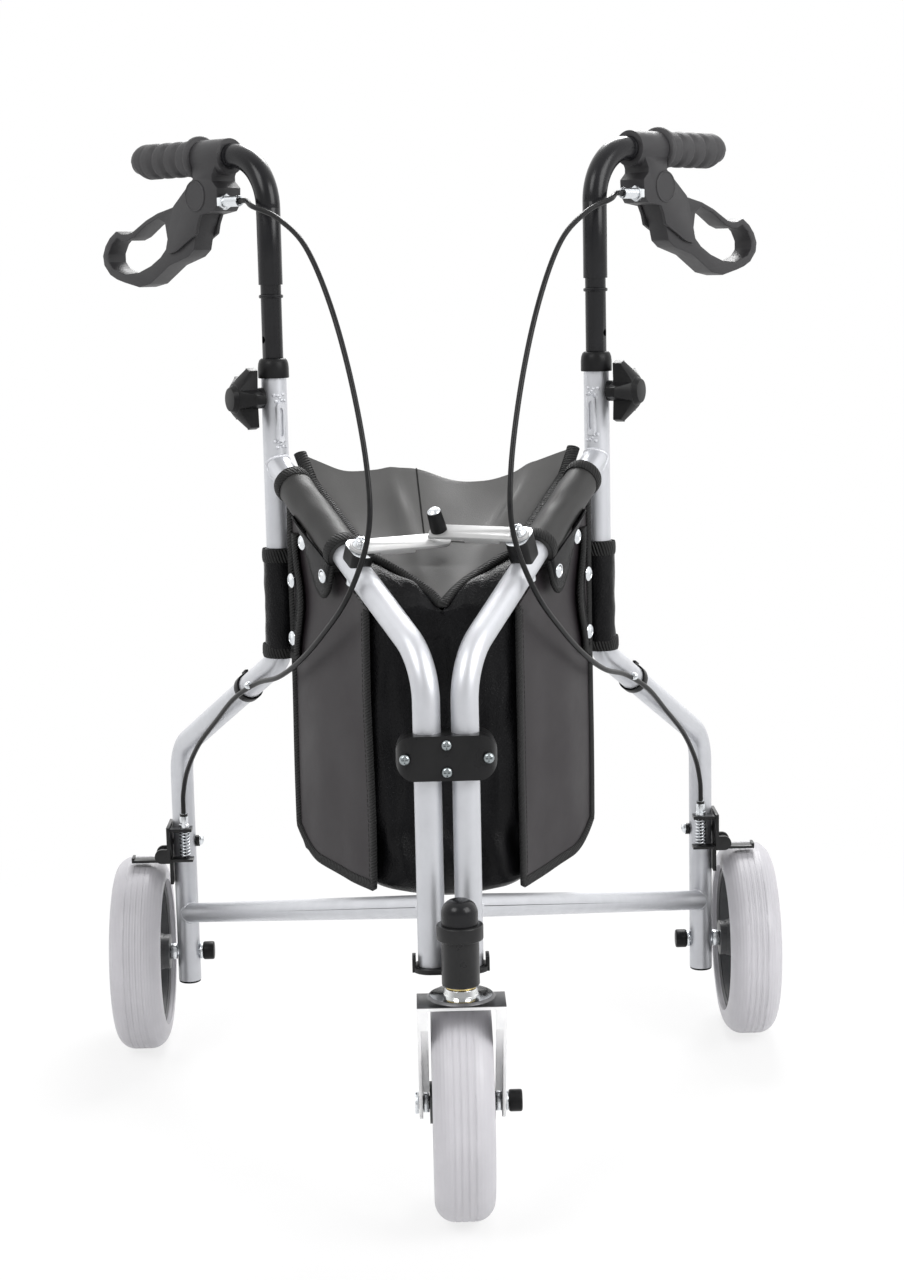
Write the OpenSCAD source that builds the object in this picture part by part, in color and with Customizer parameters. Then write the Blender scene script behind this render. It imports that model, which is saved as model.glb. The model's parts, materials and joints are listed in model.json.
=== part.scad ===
// Folding three wheel rollator: two hinged half frames, swivelling front wheel, loop brakes and a bag.
// Z is up, the floor is Z = 0, the front is towards -Y and X = 0 is the plane between the half frames.

/* [Frame tubes] */
// Outside diameter of the frame tubes
tube_d = 22.2; // [20:0.1:25.4]
// Wall of the front tubes
tube_wall = 1.6; // [1.2:0.1:2.5]
// Outside diameter of the lower cross tubes
cross_d = 19; // [16:0.5:22]
// Wall of the cross tubes
cross_wall = 1.5; // [1:0.1:2.5]
// Clear gap between the two front tubes
column_gap = 8.2; // [6:0.1:20]
// Angle of each half frame from straight back
open_angle = 28.3; // [24:0.1:32]
// Height of the lower end of the front tubes above the top of the wheels
foot_lift = 22; // [18:1:35]
// Height where the front tubes would turn without their bend
column_bend_z = 458; // [440:1:480]
// Rise of the upper run of the front tubes
rise_angle = 28; // [22:1:34]
// Bend radius of the front tubes
column_bend_r = 55; // [40:1:70]
// Distance of the upright from the front tube, along the half frame
upright_s = 264; // [240:1:290]
// Height of the upper end of the uprights
upright_top_z = 684; // [660:1:700]
// Height where the uprights would turn without their bend
upright_bend_z = 426; // [410:1:440]
// Fall of the run between upright and rear leg
drop_angle = 27; // [22:1:32]
// Bend radius of the rear tubes
rear_bend_r = 42; // [35:1:55]
// Height of the lower end of the rear legs
leg_foot_z = 66; // [60:1:75]
// Height of the cross tube at the front tube
cross_front_z = 260; // [250:1:290]
// Height of the cross tube at the rear leg
cross_rear_z = 134; // [125:1:160]

/* [Wheels] */
// Diameter of the tyres
wheel_d = 190; // [180:1:200]
// Width of the tyres
tyre_w = 49; // [40:1:55]
// Thickness of the tyre from rim to tread
tyre_t = 23; // [15:0.5:30]
// Distance between front and rear axles
wheelbase = 444; // [420:1:480]
// Gap between rear leg and tyre
leg_tyre_gap = 9.4; // [8:0.1:20]
// Diameter of the axle bolts
axle_d = 10; // [8:0.5:12]
// Diameter of the hub boss
boss_d = 34; // [28:1:44]
// Width of the rim ring
rim_w = 34; // [26:1:40]
// Thickness of the rim ring
rim_t = 7; // [5:0.5:10]
// Number of spokes
spokes = 5; // [3:1:8]
// Width of a spoke
spoke_w = 17; // [10:1:22]
// Thickness of a spoke along the axle
spoke_t = 14; // [8:1:20]

/* [Caster] */
// Sideways place of the swivel axis
caster_x = 7; // [0:0.5:10]
// Distance of the wheel axle behind the swivel axis
trail = 48; // [35:1:55]
// Outside diameter of the swivel housing
housing_d = 30; // [28:0.5:34]
// Height of the lower end of the housing above the top of the wheels
housing_lift = 19; // [17:1:25]
// Height of the housing below its collar
housing_h = 37; // [30:1:45]
// Diameter of the housing collar
collar_d = 37; // [34:0.5:42]
// Height of the housing collar
collar_h = 12; // [8:1:16]
// Diameter of the dome cap
dome_d = 29; // [24:0.5:32]
// Diameter of the swivel stem
stem_d = 12; // [10:0.5:14]
// Sheet thickness of the fork
fork_t = 3; // [2:0.5:4]
// Gap between tyre and fork leg
fork_gap = 7.6; // [5:0.1:12]

/* [Handles] */
// Diameter of the sliding handle stem
slide_d = 18; // [16:0.1:19]
// Diameter of the bent handle bar
bar_d = 21; // [19:0.1:23]
// Wall of the handle tube
handle_wall = 1.5; // [1:0.1:2.5]
// Turn of the handle outward from its half frame
handle_out = 14.7; // [0:0.1:20]
// Height of the grip axis above the uprights
grip_rise = 179; // [170:1:215]
// Bend radius of the handle bar
handle_bend_r = 46; // [38:1:48]
// Distance of the grip from the upright axis
grip_start = 88; // [85:1:95]
// Length of the grip
grip_l = 92; // [85:1:105]
// Diameter of the grip
grip_d = 32; // [29:0.5:36]
// Height of the shoulder between stem and bar above the uprights
shoulder_lift = 68; // [60:1:75]
// Length of the stem inside the upright
stem_depth = 154; // [125:1:175]
// Step between height settings
setting_step = 25; // [20:1:30]
// Number of height settings
settings = 5; // [3:1:6]
// Depth of the star knob below the top of the upright
knob_drop = 29; // [20:1:45]
// Diameter of the star knob over its lobes
knob_d = 54; // [44:1:60]

/* [Brakes] */
// Width of the lever loop
lever_w = 20; // [14:0.5:22]
// Distance of the lever tip from its pin
lever_l = 146; // [135:1:150]
// Side wall of the lever housing
cheek_t = 3; // [2:0.1:4]
// Diameter of the lever pin
lever_pin_d = 6; // [4:0.5:8]
// Diameter of the brake cable
cable_d = 4.6; // [4:0.1:5]
// Mean diameter of the brake spring
spring_d = 9; // [8:0.1:10]
// Wire diameter of the brake spring
spring_wire = 1.6; // [1.2:0.1:1.8]
// Number of turns of the brake spring
spring_turns = 8; // [5:1:10]
// Sheet thickness of the brake bracket
bracket_t = 3; // [2:0.1:4]
// Rest gap between brake shoe and tyre
shoe_gap = 4.5; // [4:0.1:8]

/* [Hinge and links] */
// Width of the hinge block
block_w = 80.5; // [74:0.5:95]
// Height of the hinge block
block_h = 36; // [30:1:44]
// Depth of the hinge block
block_depth = 36; // [32:1:44]
// Height of the middle of the hinge block
block_z = 384; // [360:1:395]
// Distance of the link bolts from the front tube, along the half frame
link_s = 117; // [105:1:125]
// Width of the link bars
link_w = 18; // [16:0.5:19]
// Thickness of the link bars
link_t = 3; // [2:0.1:4]

/* [Bag] */
// Height of the bag floor
bag_floor_z = 252; // [250:1:270]
// Distance of the bag front from the front tubes, along the half frame
bag_front_s = 92; // [85:1:100]
// Distance of the bag back from the front tubes, along the half frame
bag_back_s = 244; // [235:1:246]
// Wall of the bag
bag_wall = 3; // [2:0.1:5]
// Diameter of the sleeves round the frame tubes
sleeve_d = 32; // [27:0.5:34]

/* [Hidden] */
$fn = 48;

left = -1;
right = 1;

// Colours
silver = [0.72, 0.73, 0.75];
zinc = [0.80, 0.81, 0.83];
black = [0.07, 0.07, 0.08];
charcoal = [0.17, 0.17, 0.18];
vinyl = [0.12, 0.11, 0.12];
tyre_grey = [0.77, 0.76, 0.77];
pale_metal = [0.88, 0.88, 0.87];

// Clearances
overrun = 1;
reach = 2000;
weld_gap = 0.1;
seam_gap = 0.02;
run_fit = 0.06;
seat_gap = 0.3;
hole_fit = 0.1;
cable_fit = 0.4;

// Frame places
column_foot_z = wheel_d + foot_lift;
housing_z = wheel_d + housing_lift;
tube_r = tube_d / 2;
bore_r = slide_d / 2 + run_fit;
cross_r = cross_d / 2;
wheel_r = wheel_d / 2;
axle_r = axle_d / 2;
front_y = -wheelbase / 2;
rear_y = wheelbase / 2;
column_x = (tube_d + column_gap) / 2;
column_lead = 3;
column_y = front_y - column_lead;
leg_s = (rear_y - column_y) / cos(open_angle);
leg_x = column_x + leg_s * sin(open_angle);
leg_bend_z = upright_bend_z - (leg_s - upright_s) * tan(drop_angle);
wheel_x = leg_x + tube_r + leg_tyre_gap + tyre_w / 2;
column_turn = rise_angle - 90;
column_setback = column_bend_r * tan((90 - rise_angle) / 2);
column_runs = [
  column_bend_z - column_foot_z - column_setback,
  upright_s / cos(rise_angle) - column_setback
];
rear_turn = 90 - drop_angle;
rear_setback = rear_bend_r * tan((90 - drop_angle) / 2);
rear_runs = [
  upright_top_z - upright_bend_z - rear_setback,
  (leg_s - upright_s) / cos(drop_angle) - 2 * rear_setback,
  leg_bend_z - leg_foot_z - rear_setback
];
collar_wall = 2.4;
collar_lip = 5;
collar_skirt = 12;

// Link places, on the upper run of the front tubes
link_x = column_x + link_s * sin(open_angle);
link_z = column_bend_z + link_s * tan(rise_angle);
link_bolt_r = 3;
link_head_r = 7;
link_head_h = 4;
link_nut_r = 5;
link_nut_h = 4;
saddle_l = 28;
saddle_w = 19;
saddle_h = 8.5;
saddle_foot = 5.5;
link_stack = 5.5;
link_flange_h = 2.5;
link_flange_t = 2;
link_flange_start_share = 0.2;
link_flange_end_share = 0.64;
link_past = 7;
left_link_h = tube_r + saddle_h + seat_gap;
right_link_h = left_link_h + link_t + link_stack;
knob_post_r = 7;
knob_post_h = 19;
knob_post_taper = 1;
knob_screw_r = 6;
knob_screw_h = 2.5;

// Brake places, in front of the rear legs
brake_lead = 19;
brake_y = rear_y - brake_lead;
wire_inset = 2;
brake_wire_x = leg_x - wire_inset;
arm_t = 2.5;
arm_clear = 1.8;
shoe_top = sqrt(wheel_r * wheel_r - brake_lead * brake_lead);
arm_z = wheel_r + shoe_top + shoe_gap;
arm_pin_r = 2.5;
arm_boss_r = 5;
arm_boss_gap = 0.6;
arm_pin_z = arm_z + arm_t + arm_boss_r - overrun;
arm_w = 14;
plate_x = leg_x + tube_r + seat_gap;
brake_pivot_x = plate_x + bracket_t + arm_boss_gap + arm_boss_r;
shoe_past = 5;
arm_reach = wheel_x - leg_x + shoe_past;
arm_tail = 8;
ear_r = 7;
spring_seat_z = arm_z + arm_t + seat_gap;
spring_h = 27;
tab_z = spring_seat_z + spring_h + seat_gap;
tab_w = 15;
plate_front = 14;
plate_back = 7;
plate_tail = 26;
plate_head = 3;
bracket_bolt_r = 3;
bracket_head_r = 5.5;
bracket_head_h = 3.5;
bracket_bolt_z = (arm_z + tab_z) / 2;
ferrule_r = 3.8;
ferrule_h = 14;
ferrule_seat = 9;
wire_hole_r = 2;
wire_slot = 3.4;
wire_r = 0.8;

// Handle places, in the plane of the grip
grip_z = upright_top_z + grip_rise;
grip_reach = grip_start + grip_l;
shoulder_z = upright_top_z + shoulder_lift;
stem_foot_z = upright_top_z - stem_depth;
knob_z = upright_top_z - knob_drop;
handle_turn = -90;
handle_runs = [grip_z - shoulder_z - handle_bend_r, grip_reach - overrun - handle_bend_r];
clamp_x = 49;
clamp_t = 5;
clamp_gap = 1;
lever_pivot_x = 84;
lever_pivot_drop = 33;
lever_pivot_z = grip_z - lever_pivot_drop;
lever_root_r = 10;
lever_body_h = 86;
grip_flange_l = 6;
grip_flange_r = 19;
grip_ribs = 4;
grip_rib_l = 17;
grip_rib_start = 15;
grip_groove = 1.6;
grip_end_l = 9;

// Route of the right brake cable, from the lever's barrel adjuster to the ferrule of the brake
cable_route = [
  [166, 24, 824], [160, 15, 824], [157, 2, 822], [152, -12, 818], [131, -30, 808], [107, -58, 784],
  [86, -91, 735], [69, -121, 670], [58, -147, 600], [59, -155, 550], [76, -150, 502], [100, -108, 463],
  [122, -64, 434], [143, -21, 413], [165, 24, 400], [189, 67, 379], [210, 112, 350],
  [232, 155, 318], [247, 188, 286], [253, 201, 262], [254, 203, 248], [254, 203, 233]
];

// Wheels
hub_proud = 2;
hub_l = tyre_w + 2 * hub_proud;
rim_r = wheel_r - tyre_t;
shoulder_r = 17;
groove_count = 6;
groove_w = 1.2;
groove_d = 0.3;
groove_pitch = 5.5;
axle_nut_r = 8;
axle_nut_h = 3;
axle_head_r = 9;
axle_head_h = 3;
axle_tail = 10;
axle_cap_r = 9;
axle_cap_l = 11;
spacer_r = 8;

// Brake spring, as the path of its wire
spring_rings = 8;
spring_sides = 6;
spring_path = [
  for (k = [0 : spring_turns * spring_rings])
    let (a = 360 * k / spring_rings)
      [spring_d / 2 * cos(a), spring_d / 2 * sin(a),
       spring_wire / 2 + (spring_h - spring_wire) * k / (spring_turns * spring_rings)]
];
spring_gap = min([
  for (i = [0 : spring_rings], j = [i + spring_rings - 2 : i + spring_rings + 2])
    norm(spring_path[i] - spring_path[j])
]) - spring_wire;
echo(spring_gap_mm = spring_gap);

// Cable clip
clip_s = 340;
clip_w = 9;
clip_t = 1.6;
clip_tab = 5;

// Barrel adjuster
barrel_l = 24;
barrel_side = 8;
barrel_lift = -6;
barrel_r = 4.6;
barrel_nut_r = 7;
barrel_nut_l = 6;
barrel_reach = 31.5;

// Side outline of the lever housing and of its pocket, from the lever pin in shares of the housing's height
housing_shares = [
  [-0.40, 0.38], [0.03, 0.38], [0.03, 0.17], [0.07, 0.14], [0.37, -0.09], [0.43, -0.23],
  [0.50, -0.47], [0.49, -0.58], [0.35, -0.55], [0.01, -0.38], [-0.02, -0.28], [-0.07, -0.19],
  [-0.29, -0.16], [-0.35, -0.09], [-0.36, 0.07], [-0.28, 0.14], [-0.28, 0.19]
];
pocket_shares = [
  [-0.16, 0.02], [-0.14, 0.15], [0.16, 0.16], [0.51, -0.05], [0.63, -0.40], [0.51, -0.74],
  [0, -0.68], [-0.03, -0.40], [-0.15, -0.14]
];

// Outer edge of the lever loop and of its finger hole, from the lever pin in shares of the lever's length
lever_edge_shares = [
  [-0.06, 0.06], [0.06, 0.03], [0.19, -0.03], [0.26, -0.06], [0.41, -0.09], [0.53, -0.13],
  [0.68, -0.20], [0.73, -0.21], [0.79, -0.21], [0.85, -0.19], [0.92, -0.23], [0.97, -0.28],
  [1, -0.34], [0.99, -0.40], [0.93, -0.46], [0.86, -0.49], [0.78, -0.51], [0.63, -0.54],
  [0.51, -0.52], [0.31, -0.41], [0.12, -0.36], [0.06, -0.32], [0.03, -0.22], [-0.06, -0.06]
];
lever_hole_shares = [
  [0.41, -0.12], [0.53, -0.16], [0.66, -0.23], [0.73, -0.25], [0.79, -0.25], [0.84, -0.23],
  [0.90, -0.27], [0.94, -0.33], [0.94, -0.38], [0.90, -0.42], [0.77, -0.46], [0.63, -0.45],
  [0.50, -0.41], [0.40, -0.36], [0.34, -0.31], [0.32, -0.25], [0.34, -0.15]
];

// Ends of the right cable, in the barrel adjuster and in the ferrule
cable_seat = 1;
end_hold = 4;
grip_heading = 90 - open_angle - handle_out;
cable_start_x = lever_pivot_x - barrel_reach - barrel_l + cable_seat;
cable_start = [
  half_x(upright_s) + cable_start_x * cos(grip_heading) + barrel_side * sin(grip_heading),
  half_y(upright_s) + cable_start_x * sin(grip_heading) - barrel_side * cos(grip_heading),
  lever_pivot_z + barrel_lift
];
cable_end = [brake_wire_x, brake_y, tab_z + bracket_t + ferrule_h - ferrule_seat + seat_gap];
lever_rise = (cable_start[2] - column_bend_z) / (cable_route[0][2] - column_bend_z);

// Star knob
knob_stud_r = 3;
knob_lobes = 5;
knob_tip_turn = 8;
knob_tip_l = 8;
knob_valley_r = 13.5;
knob_points = [
  for (k = [0 : knob_lobes - 1], turn = [-knob_tip_turn, knob_tip_turn, 180 / knob_lobes])
    let (r = turn > knob_tip_turn ? knob_valley_r : knob_d / 2, at = 360 * (k + 1 / 2) / knob_lobes + turn)
      [r * cos(at), r * sin(at)]
];
knob_boss_r = 9;
knob_boss_l = 9;
knob_head_l = 18;
knob_cap_r = 12;
knob_cap_l = 4;

// Hinge block screws
screw_r = 2;
screw_head_r = 4;
screw_head_h = 2.4;
screw_side_share = 0.41;
screw_height_share = 0.3;
screw_proud = 0.6;
block_round = 15;
screw_places = [
  [-screw_side_share * block_w, 0], [screw_side_share * block_w, 0],
  [0, -screw_height_share * block_h], [0, screw_height_share * block_h]
];

// Foot bracket
foot_t = 4;
foot_w = 62;
foot_depth = 32;
foot_lip_h = 8;
foot_lip_t = 3;
foot_peg_h = 12;
tongue_w = 18;
tongue_h = 26;
swivel_y = front_y - trail;

// Caster
bearing_h = 10;
bearing_flange_h = 2;
bearing_wall = 5;
cap_wall = 2;
dome_h = 21;
nut_r = 9.5;
nut_h = 8;
cup_r = 15;
cup_h = 5;
dish_r = 27;
dish_t = 2;
dish_lift = 4;
crown_gap = 2.5;
crown_z = wheel_d + crown_gap;
fork_x = tyre_w / 2 + fork_gap;
fork_front = 16;
fork_back = 22;
fork_eye_r = 13;
fork_lip = 5.5;
axle_washer_h = 2;

// Bag places
top_slope = atan(tan(rise_angle) / cos(open_angle));
bag_drop = (sleeve_d / 2 + seat_gap) / cos(top_slope);
bag_lid_gap = 18;
bag_lid_t = 3;
bag_roll_r = 2;
bag_crease_s = 172;
bag_lid_over = 3;
sleeve_start_s = 135;
sleeve_end_s = 236;
upright_sleeve_d = 30;
upright_sleeve_z = 452;
upright_sleeve_h = 70;

// Small tools

function heading(a, b) = atan2(b[1] - a[1], b[0] - a[0]);
function link_reach(h) = (link_x - h * sin(rise_angle) * sin(open_angle)) / cos(open_angle);
function along(a, b, d) = a + d * (b - a) / norm(b - a);

// Straight rod between two points of the XY plane
module rod(a, b, r) {
  translate([a[0], a[1], 0])
    rotate([0, 0, heading(a, b)])
      rotate([0, 90, 0])
        cylinder(r = r, h = norm(b - a));
}

// Bent tube in the XY plane: starts along X, runs of given lengths with a turn after each but the last
module bent_pipe(runs, turns, bend_r, r, bore, i = 0) {
  first = i == 0 ? 0 : seam_gap;
  last = i == len(turns) ? 0 : seam_gap;
  translate([first, 0, 0]) rotate([0, 90, 0]) difference() {
    cylinder(r = r, h = runs[i] - first - last);
    translate([0, 0, -overrun]) cylinder(r = bore, h = runs[i] + 2 * overrun);
  }
  if (i < len(turns))
    translate([runs[i], 0, 0]) mirror([0, turns[i] < 0 ? 1 : 0, 0]) translate([0, bend_r, 0]) {
      rotate([0, 0, -90])
        rotate_extrude(angle = abs(turns[i]))
          translate([bend_r, 0])
            difference() {
              circle(r = r);
              circle(r = bore);
            }
      rotate([0, 0, abs(turns[i])])
        translate([0, -bend_r, 0])
          bent_pipe(runs, turns[i] < 0 ? -turns : turns, bend_r, r, bore, i + 1);
    }
}

// Stands a drawing of the XY plane up into the XZ plane
module upright_plane() {
  rotate([90, 0, 0]) children();
}

// Places the right side, or mirrors it to the left
module on_side(side) {
  mirror([side < 0 ? 1 : 0, 0, 0]) children();
}

// Frame of the right half: X runs along the half frame, Y inward and back
module half() {
  translate([column_x, column_y, 0])
    rotate([0, 0, 90 - open_angle])
      children();
}

// Frame of the right handle: X runs along the grip
module handle() {
  half()
    translate([upright_s, 0, 0])
      rotate([0, 0, -handle_out])
        children();
}

// Frame of the right link bolt: X runs up the tube, Y inward, Z along the bolt
module link_seat() {
  half()
    translate([link_s, 0, link_z])
      rotate([0, -rise_angle, 0])
        children();
}

// Turns a shape's Z axis along X
module along_x() {
  rotate([0, 90, 0]) children();
}

// Turns a shape's Z axis along Y
module along_y() {
  rotate([-90, 0, 0]) children();
}

// Rectangle with round corners, centred
module round_rect(w, h, r) {
  square([w - 2 * r, h], center = true);
  square([w, h - 2 * r], center = true);
  for (x = [-1, 1], y = [-1, 1])
    translate([x * (w / 2 - r), y * (h / 2 - r)])
      circle(r = r);
}

// Strip with round ends between two points
module strip(l, w) {
  translate([0, -w / 2]) square([l, w]);
  circle(d = w);
  translate([l, 0]) circle(d = w);
}

// Catmull-Rom point between p[i] and p[i + 1]
function spline_point(p, i, t) =
  let (a = p[max(i - 1, 0)], b = p[i], c = p[i + 1], d = p[min(i + 2, len(p) - 1)])
  0.5 * (2 * b + (c - a) * t + (2 * a - 5 * b + 4 * c - d) * t * t
         + (3 * b - a - 3 * c + d) * t * t * t);
function spline(p, steps) = concat(
  [for (i = [0 : len(p) - 2], k = [0 : steps - 1]) spline_point(p, i, k / steps)],
  [p[len(p) - 1]]);
function unit(v) = v / norm(v);
function tangent(p, i) = unit(p[min(i + 1, len(p) - 1)] - p[max(i - 1, 0)]);
// Side direction carried along the path without twist
function carried(p, i, last) = unit(last - (last * tangent(p, i)) * tangent(p, i));
function sides_along(p, first) = [
  for (i = 0, s = carried(p, 0, first); i < len(p); i = i + 1, s = i < len(p) ? carried(p, i, s) : s) s
];

// One closed tube along points, with triangles only
module swept_tube(p, r, sides, first) {
  n = len(p);
  s = sides_along(p, first);
  rings = [
    for (i = [0 : n - 1], k = [0 : sides - 1])
      let (a = 360 * k / sides, b = cross(tangent(p, i), s[i]))
        p[i] + r * (cos(a) * s[i] + sin(a) * b)
  ];
  walls = [
    for (i = [0 : n - 2], k = [0 : sides - 1], part = [0, 1])
      let (a = i * sides + k, b = i * sides + (k + 1) % sides)
        part == 0 ? [a, b + sides, b] : [a, a + sides, b + sides]
  ];
  start_cap = [for (k = [1 : sides - 2]) [0, k, k + 1]];
  last = (n - 1) * sides;
  end_cap = [for (k = [1 : sides - 2]) [last, last + k + 1, last + k]];
  polyhedron(points = rings, faces = concat(walls, start_cap, end_cap));
}

// Frame

module front_tube(side) {
  color(silver) on_side(side) difference() {
    half() difference() {
      translate([0, 0, column_foot_z]) upright_plane() rotate([0, 0, 90])
        bent_pipe(column_runs, [column_turn], column_bend_r, tube_r, tube_r - tube_wall);
      translate([upright_s, 0, 0]) cylinder(r = tube_r + weld_gap, h = reach);
    }
    link_seat() cylinder(r = link_bolt_r + hole_fit, h = 4 * tube_r, center = true);
  }
}

module rear_tube(side) {
  color(silver) on_side(side) difference() {
    half() difference() {
      translate([upright_s, 0, upright_top_z]) upright_plane() rotate([0, 0, -90])
        bent_pipe(rear_runs, [rear_turn, -rear_turn], rear_bend_r, tube_r, bore_r);
      translate([upright_s, 0, knob_z])
        rotate([90, 0, 0])
          cylinder(r = knob_stud_r + hole_fit, h = tube_d);
    }
    translate([leg_x, rear_y, wheel_r])
      along_x() cylinder(r = axle_r + hole_fit, h = 2 * tube_d, center = true);
    translate([leg_x, rear_y, bracket_bolt_z])
      along_x() cylinder(r = bracket_bolt_r + hole_fit, h = 2 * tube_d, center = true);
  }
}

module cross_tube(side) {
  a = [0, cross_front_z];
  b = [leg_s, cross_rear_z];
  color(silver) on_side(side) half() difference() {
    upright_plane() rod(a, b, cross_r);
    upright_plane() rod(along(a, b, -overrun), along(b, a, -overrun), cross_r - cross_wall);
    cylinder(r = tube_r + weld_gap, h = reach);
    translate([leg_s, 0, 0]) cylinder(r = tube_r + weld_gap, h = reach);
  }
}

module collar(side) {
  color(black) on_side(side) half()
    translate([upright_s, 0, upright_top_z]) difference() {
      translate([0, 0, -collar_skirt])
        cylinder(r = tube_r + collar_wall, h = collar_skirt + collar_lip);
      translate([0, 0, -collar_skirt - overrun])
        cylinder(r = tube_r + run_fit, h = collar_skirt + overrun);
      translate([0, 0, -overrun]) cylinder(r = slide_d / 2 + seat_gap, h = collar_lip + 2 * overrun);
    }
}

// Wheels, made round the Z axis with the middle plane at Z = 0

module tyre_form() {
  rotate_extrude($fn = 96) difference() {
    union() {
      translate([rim_r + hole_fit, -tyre_w / 2 + shoulder_r])
        square([tyre_t - hole_fit, tyre_w - 2 * shoulder_r]);
      translate([rim_r + hole_fit, -tyre_w / 2]) square([tyre_t - hole_fit - shoulder_r, tyre_w]);
      for (s = [-1, 1])
        translate([wheel_r - shoulder_r, s * (tyre_w / 2 - shoulder_r)]) circle(r = shoulder_r);
    }
    for (k = [0 : groove_count - 1])
      translate([wheel_r - groove_d, (k - (groove_count - 1) / 2) * groove_pitch - groove_w / 2])
        square([groove_d + overrun, groove_w]);
    translate([0, -tyre_w]) square([rim_r + hole_fit, 2 * tyre_w]);
  }
}

module hub_form() {
  difference() {
    union() {
      rotate_extrude($fn = 96) {
        translate([rim_r - rim_t, -rim_w / 2]) square([rim_t, rim_w]);
        square([boss_d / 2, hub_l / 2]);
        translate([0, -hub_l / 2]) square([boss_d / 2, hub_l / 2]);
      }
      for (k = [0 : spokes - 1])
        rotate([0, 0, 360 * k / spokes])
          translate([boss_d / 2 - overrun, -spoke_w / 2, -spoke_t / 2])
            cube([rim_r - rim_t - boss_d / 2 + 2 * overrun, spoke_w, spoke_t]);
    }
    cylinder(r = axle_r + run_fit, h = hub_l + 2 * overrun, center = true);
  }
}

module rear_wheel_seat(side) {
  on_side(side) translate([wheel_x, rear_y, wheel_r]) along_x() children();
}

module rear_tyre(side) {
  color(tyre_grey) rear_wheel_seat(side) tyre_form();
}

module rear_hub(side) {
  color(charcoal) rear_wheel_seat(side) hub_form();
}

module rear_axle(side) {
  inner = leg_x - tube_r - seat_gap;
  outer = wheel_x + hub_l / 2 + seat_gap;
  spacer = wheel_x - hub_l / 2 - seat_gap;
  color(zinc) on_side(side) translate([0, rear_y, wheel_r]) along_x() {
    translate([0, 0, inner - axle_nut_h - axle_tail])
      cylinder(r = axle_r, h = outer - inner + axle_nut_h + axle_tail);
    translate([0, 0, inner - axle_nut_h]) cylinder(r = axle_nut_r, h = axle_nut_h);
    translate([0, 0, leg_x + tube_r + seat_gap])
      cylinder(r = spacer_r, h = spacer - leg_x - tube_r - seat_gap);
    translate([0, 0, outer]) cylinder(r = axle_head_r, h = axle_head_h);
  }
}

// Cup over the inner end of an axle, open towards +Z
module axle_cup() {
  difference() {
    cylinder(r = axle_cap_r, h = axle_cap_l);
    translate([0, 0, axle_cap_l - axle_tail])
      cylinder(r = axle_r + run_fit, h = axle_tail + overrun);
  }
}

module rear_axle_cap(side) {
  color(black) on_side(side)
    translate([leg_x - tube_r - seat_gap - axle_nut_h - axle_cap_l, rear_y, wheel_r])
      along_x() axle_cup();
}

// Brake at the rear wheel

module brake_bracket(side) {
  plate_y = brake_y - plate_front;
  plate_z = arm_z + arm_t + arm_clear;
  tail_y = brake_y + arm_w / 2 + seat_gap;
  ear_y = arm_w / 2 + seat_gap;
  bolt_x = leg_x - tube_r - seat_gap;
  color(black) on_side(side) difference() {
    union() {
      translate([plate_x, plate_y, plate_z])
        cube([bracket_t, rear_y - plate_y + plate_back, tab_z + bracket_t + plate_head - plate_z]);
      translate([plate_x, tail_y, arm_z - plate_tail])
        cube([bracket_t, rear_y - tail_y + plate_back, tab_z - arm_z + plate_tail]);
      translate([brake_wire_x - tab_w / 2, brake_y - tab_w / 2, tab_z])
        cube([plate_x - brake_wire_x + tab_w / 2 + bracket_t, tab_w, bracket_t]);
      for (s = [-1, 1])
        translate([0, brake_y + s * (ear_y + bracket_t / 2), 0]) {
          translate([plate_x, -bracket_t / 2, arm_pin_z - ear_r])
            cube([brake_pivot_x - plate_x, bracket_t, 2 * ear_r]);
          translate([brake_pivot_x, 0, arm_pin_z])
            along_y() cylinder(r = ear_r, h = bracket_t, center = true);
        }
      translate([brake_pivot_x, brake_y, arm_pin_z])
        along_y() cylinder(r = arm_pin_r, h = 2 * ear_y + bracket_t, center = true);
      translate([bolt_x, rear_y, bracket_bolt_z]) along_x() {
        cylinder(r = bracket_bolt_r, h = tube_d + 2 * seat_gap + overrun);
        translate([0, 0, -bracket_head_h]) cylinder(r = bracket_head_r, h = bracket_head_h);
      }
      translate([brake_wire_x, brake_y, tab_z + bracket_t - overrun])
        cylinder(r = ferrule_r, h = ferrule_h + overrun);
    }
    translate([brake_wire_x, brake_y, tab_z - overrun])
      cylinder(r = wire_hole_r, h = bracket_t + ferrule_h + 2 * overrun);
    translate([brake_wire_x, brake_y, tab_z - overrun])
      linear_extrude(height = bracket_t + overrun) strip(wire_slot, 2 * wire_hole_r);
    translate([brake_wire_x, brake_y, tab_z + bracket_t + ferrule_h - ferrule_seat])
      cylinder(r = cable_d / 2 + cable_fit, h = ferrule_seat + overrun);
  }
}

module brake_arm(side) {
  color(black) on_side(side) difference() {
    union() {
      translate([brake_wire_x - arm_tail, brake_y - arm_w / 2, arm_z])
        cube([leg_x + arm_reach - brake_wire_x + arm_tail, arm_w, arm_t]);
      translate([leg_x + arm_reach - arm_t, brake_y - arm_w / 2, arm_z])
        cube([arm_t, arm_w, 2 * arm_t]);
      translate([brake_pivot_x, brake_y, arm_pin_z])
        along_y() cylinder(r = arm_boss_r, h = arm_w, center = true);
      translate([brake_wire_x, brake_y, arm_z])
        cylinder(r = wire_r, h = tab_z - arm_z);
    }
    translate([brake_pivot_x, brake_y, arm_pin_z])
      along_y() cylinder(r = arm_pin_r + run_fit, h = arm_w + 2 * overrun, center = true);
  }
}

module brake_spring(side) {
  color(zinc) on_side(side)
    translate([brake_wire_x, brake_y, spring_seat_z])
      swept_tube(spring_path, spring_wire / 2, spring_sides, [1, 0, 0]);
}

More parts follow.
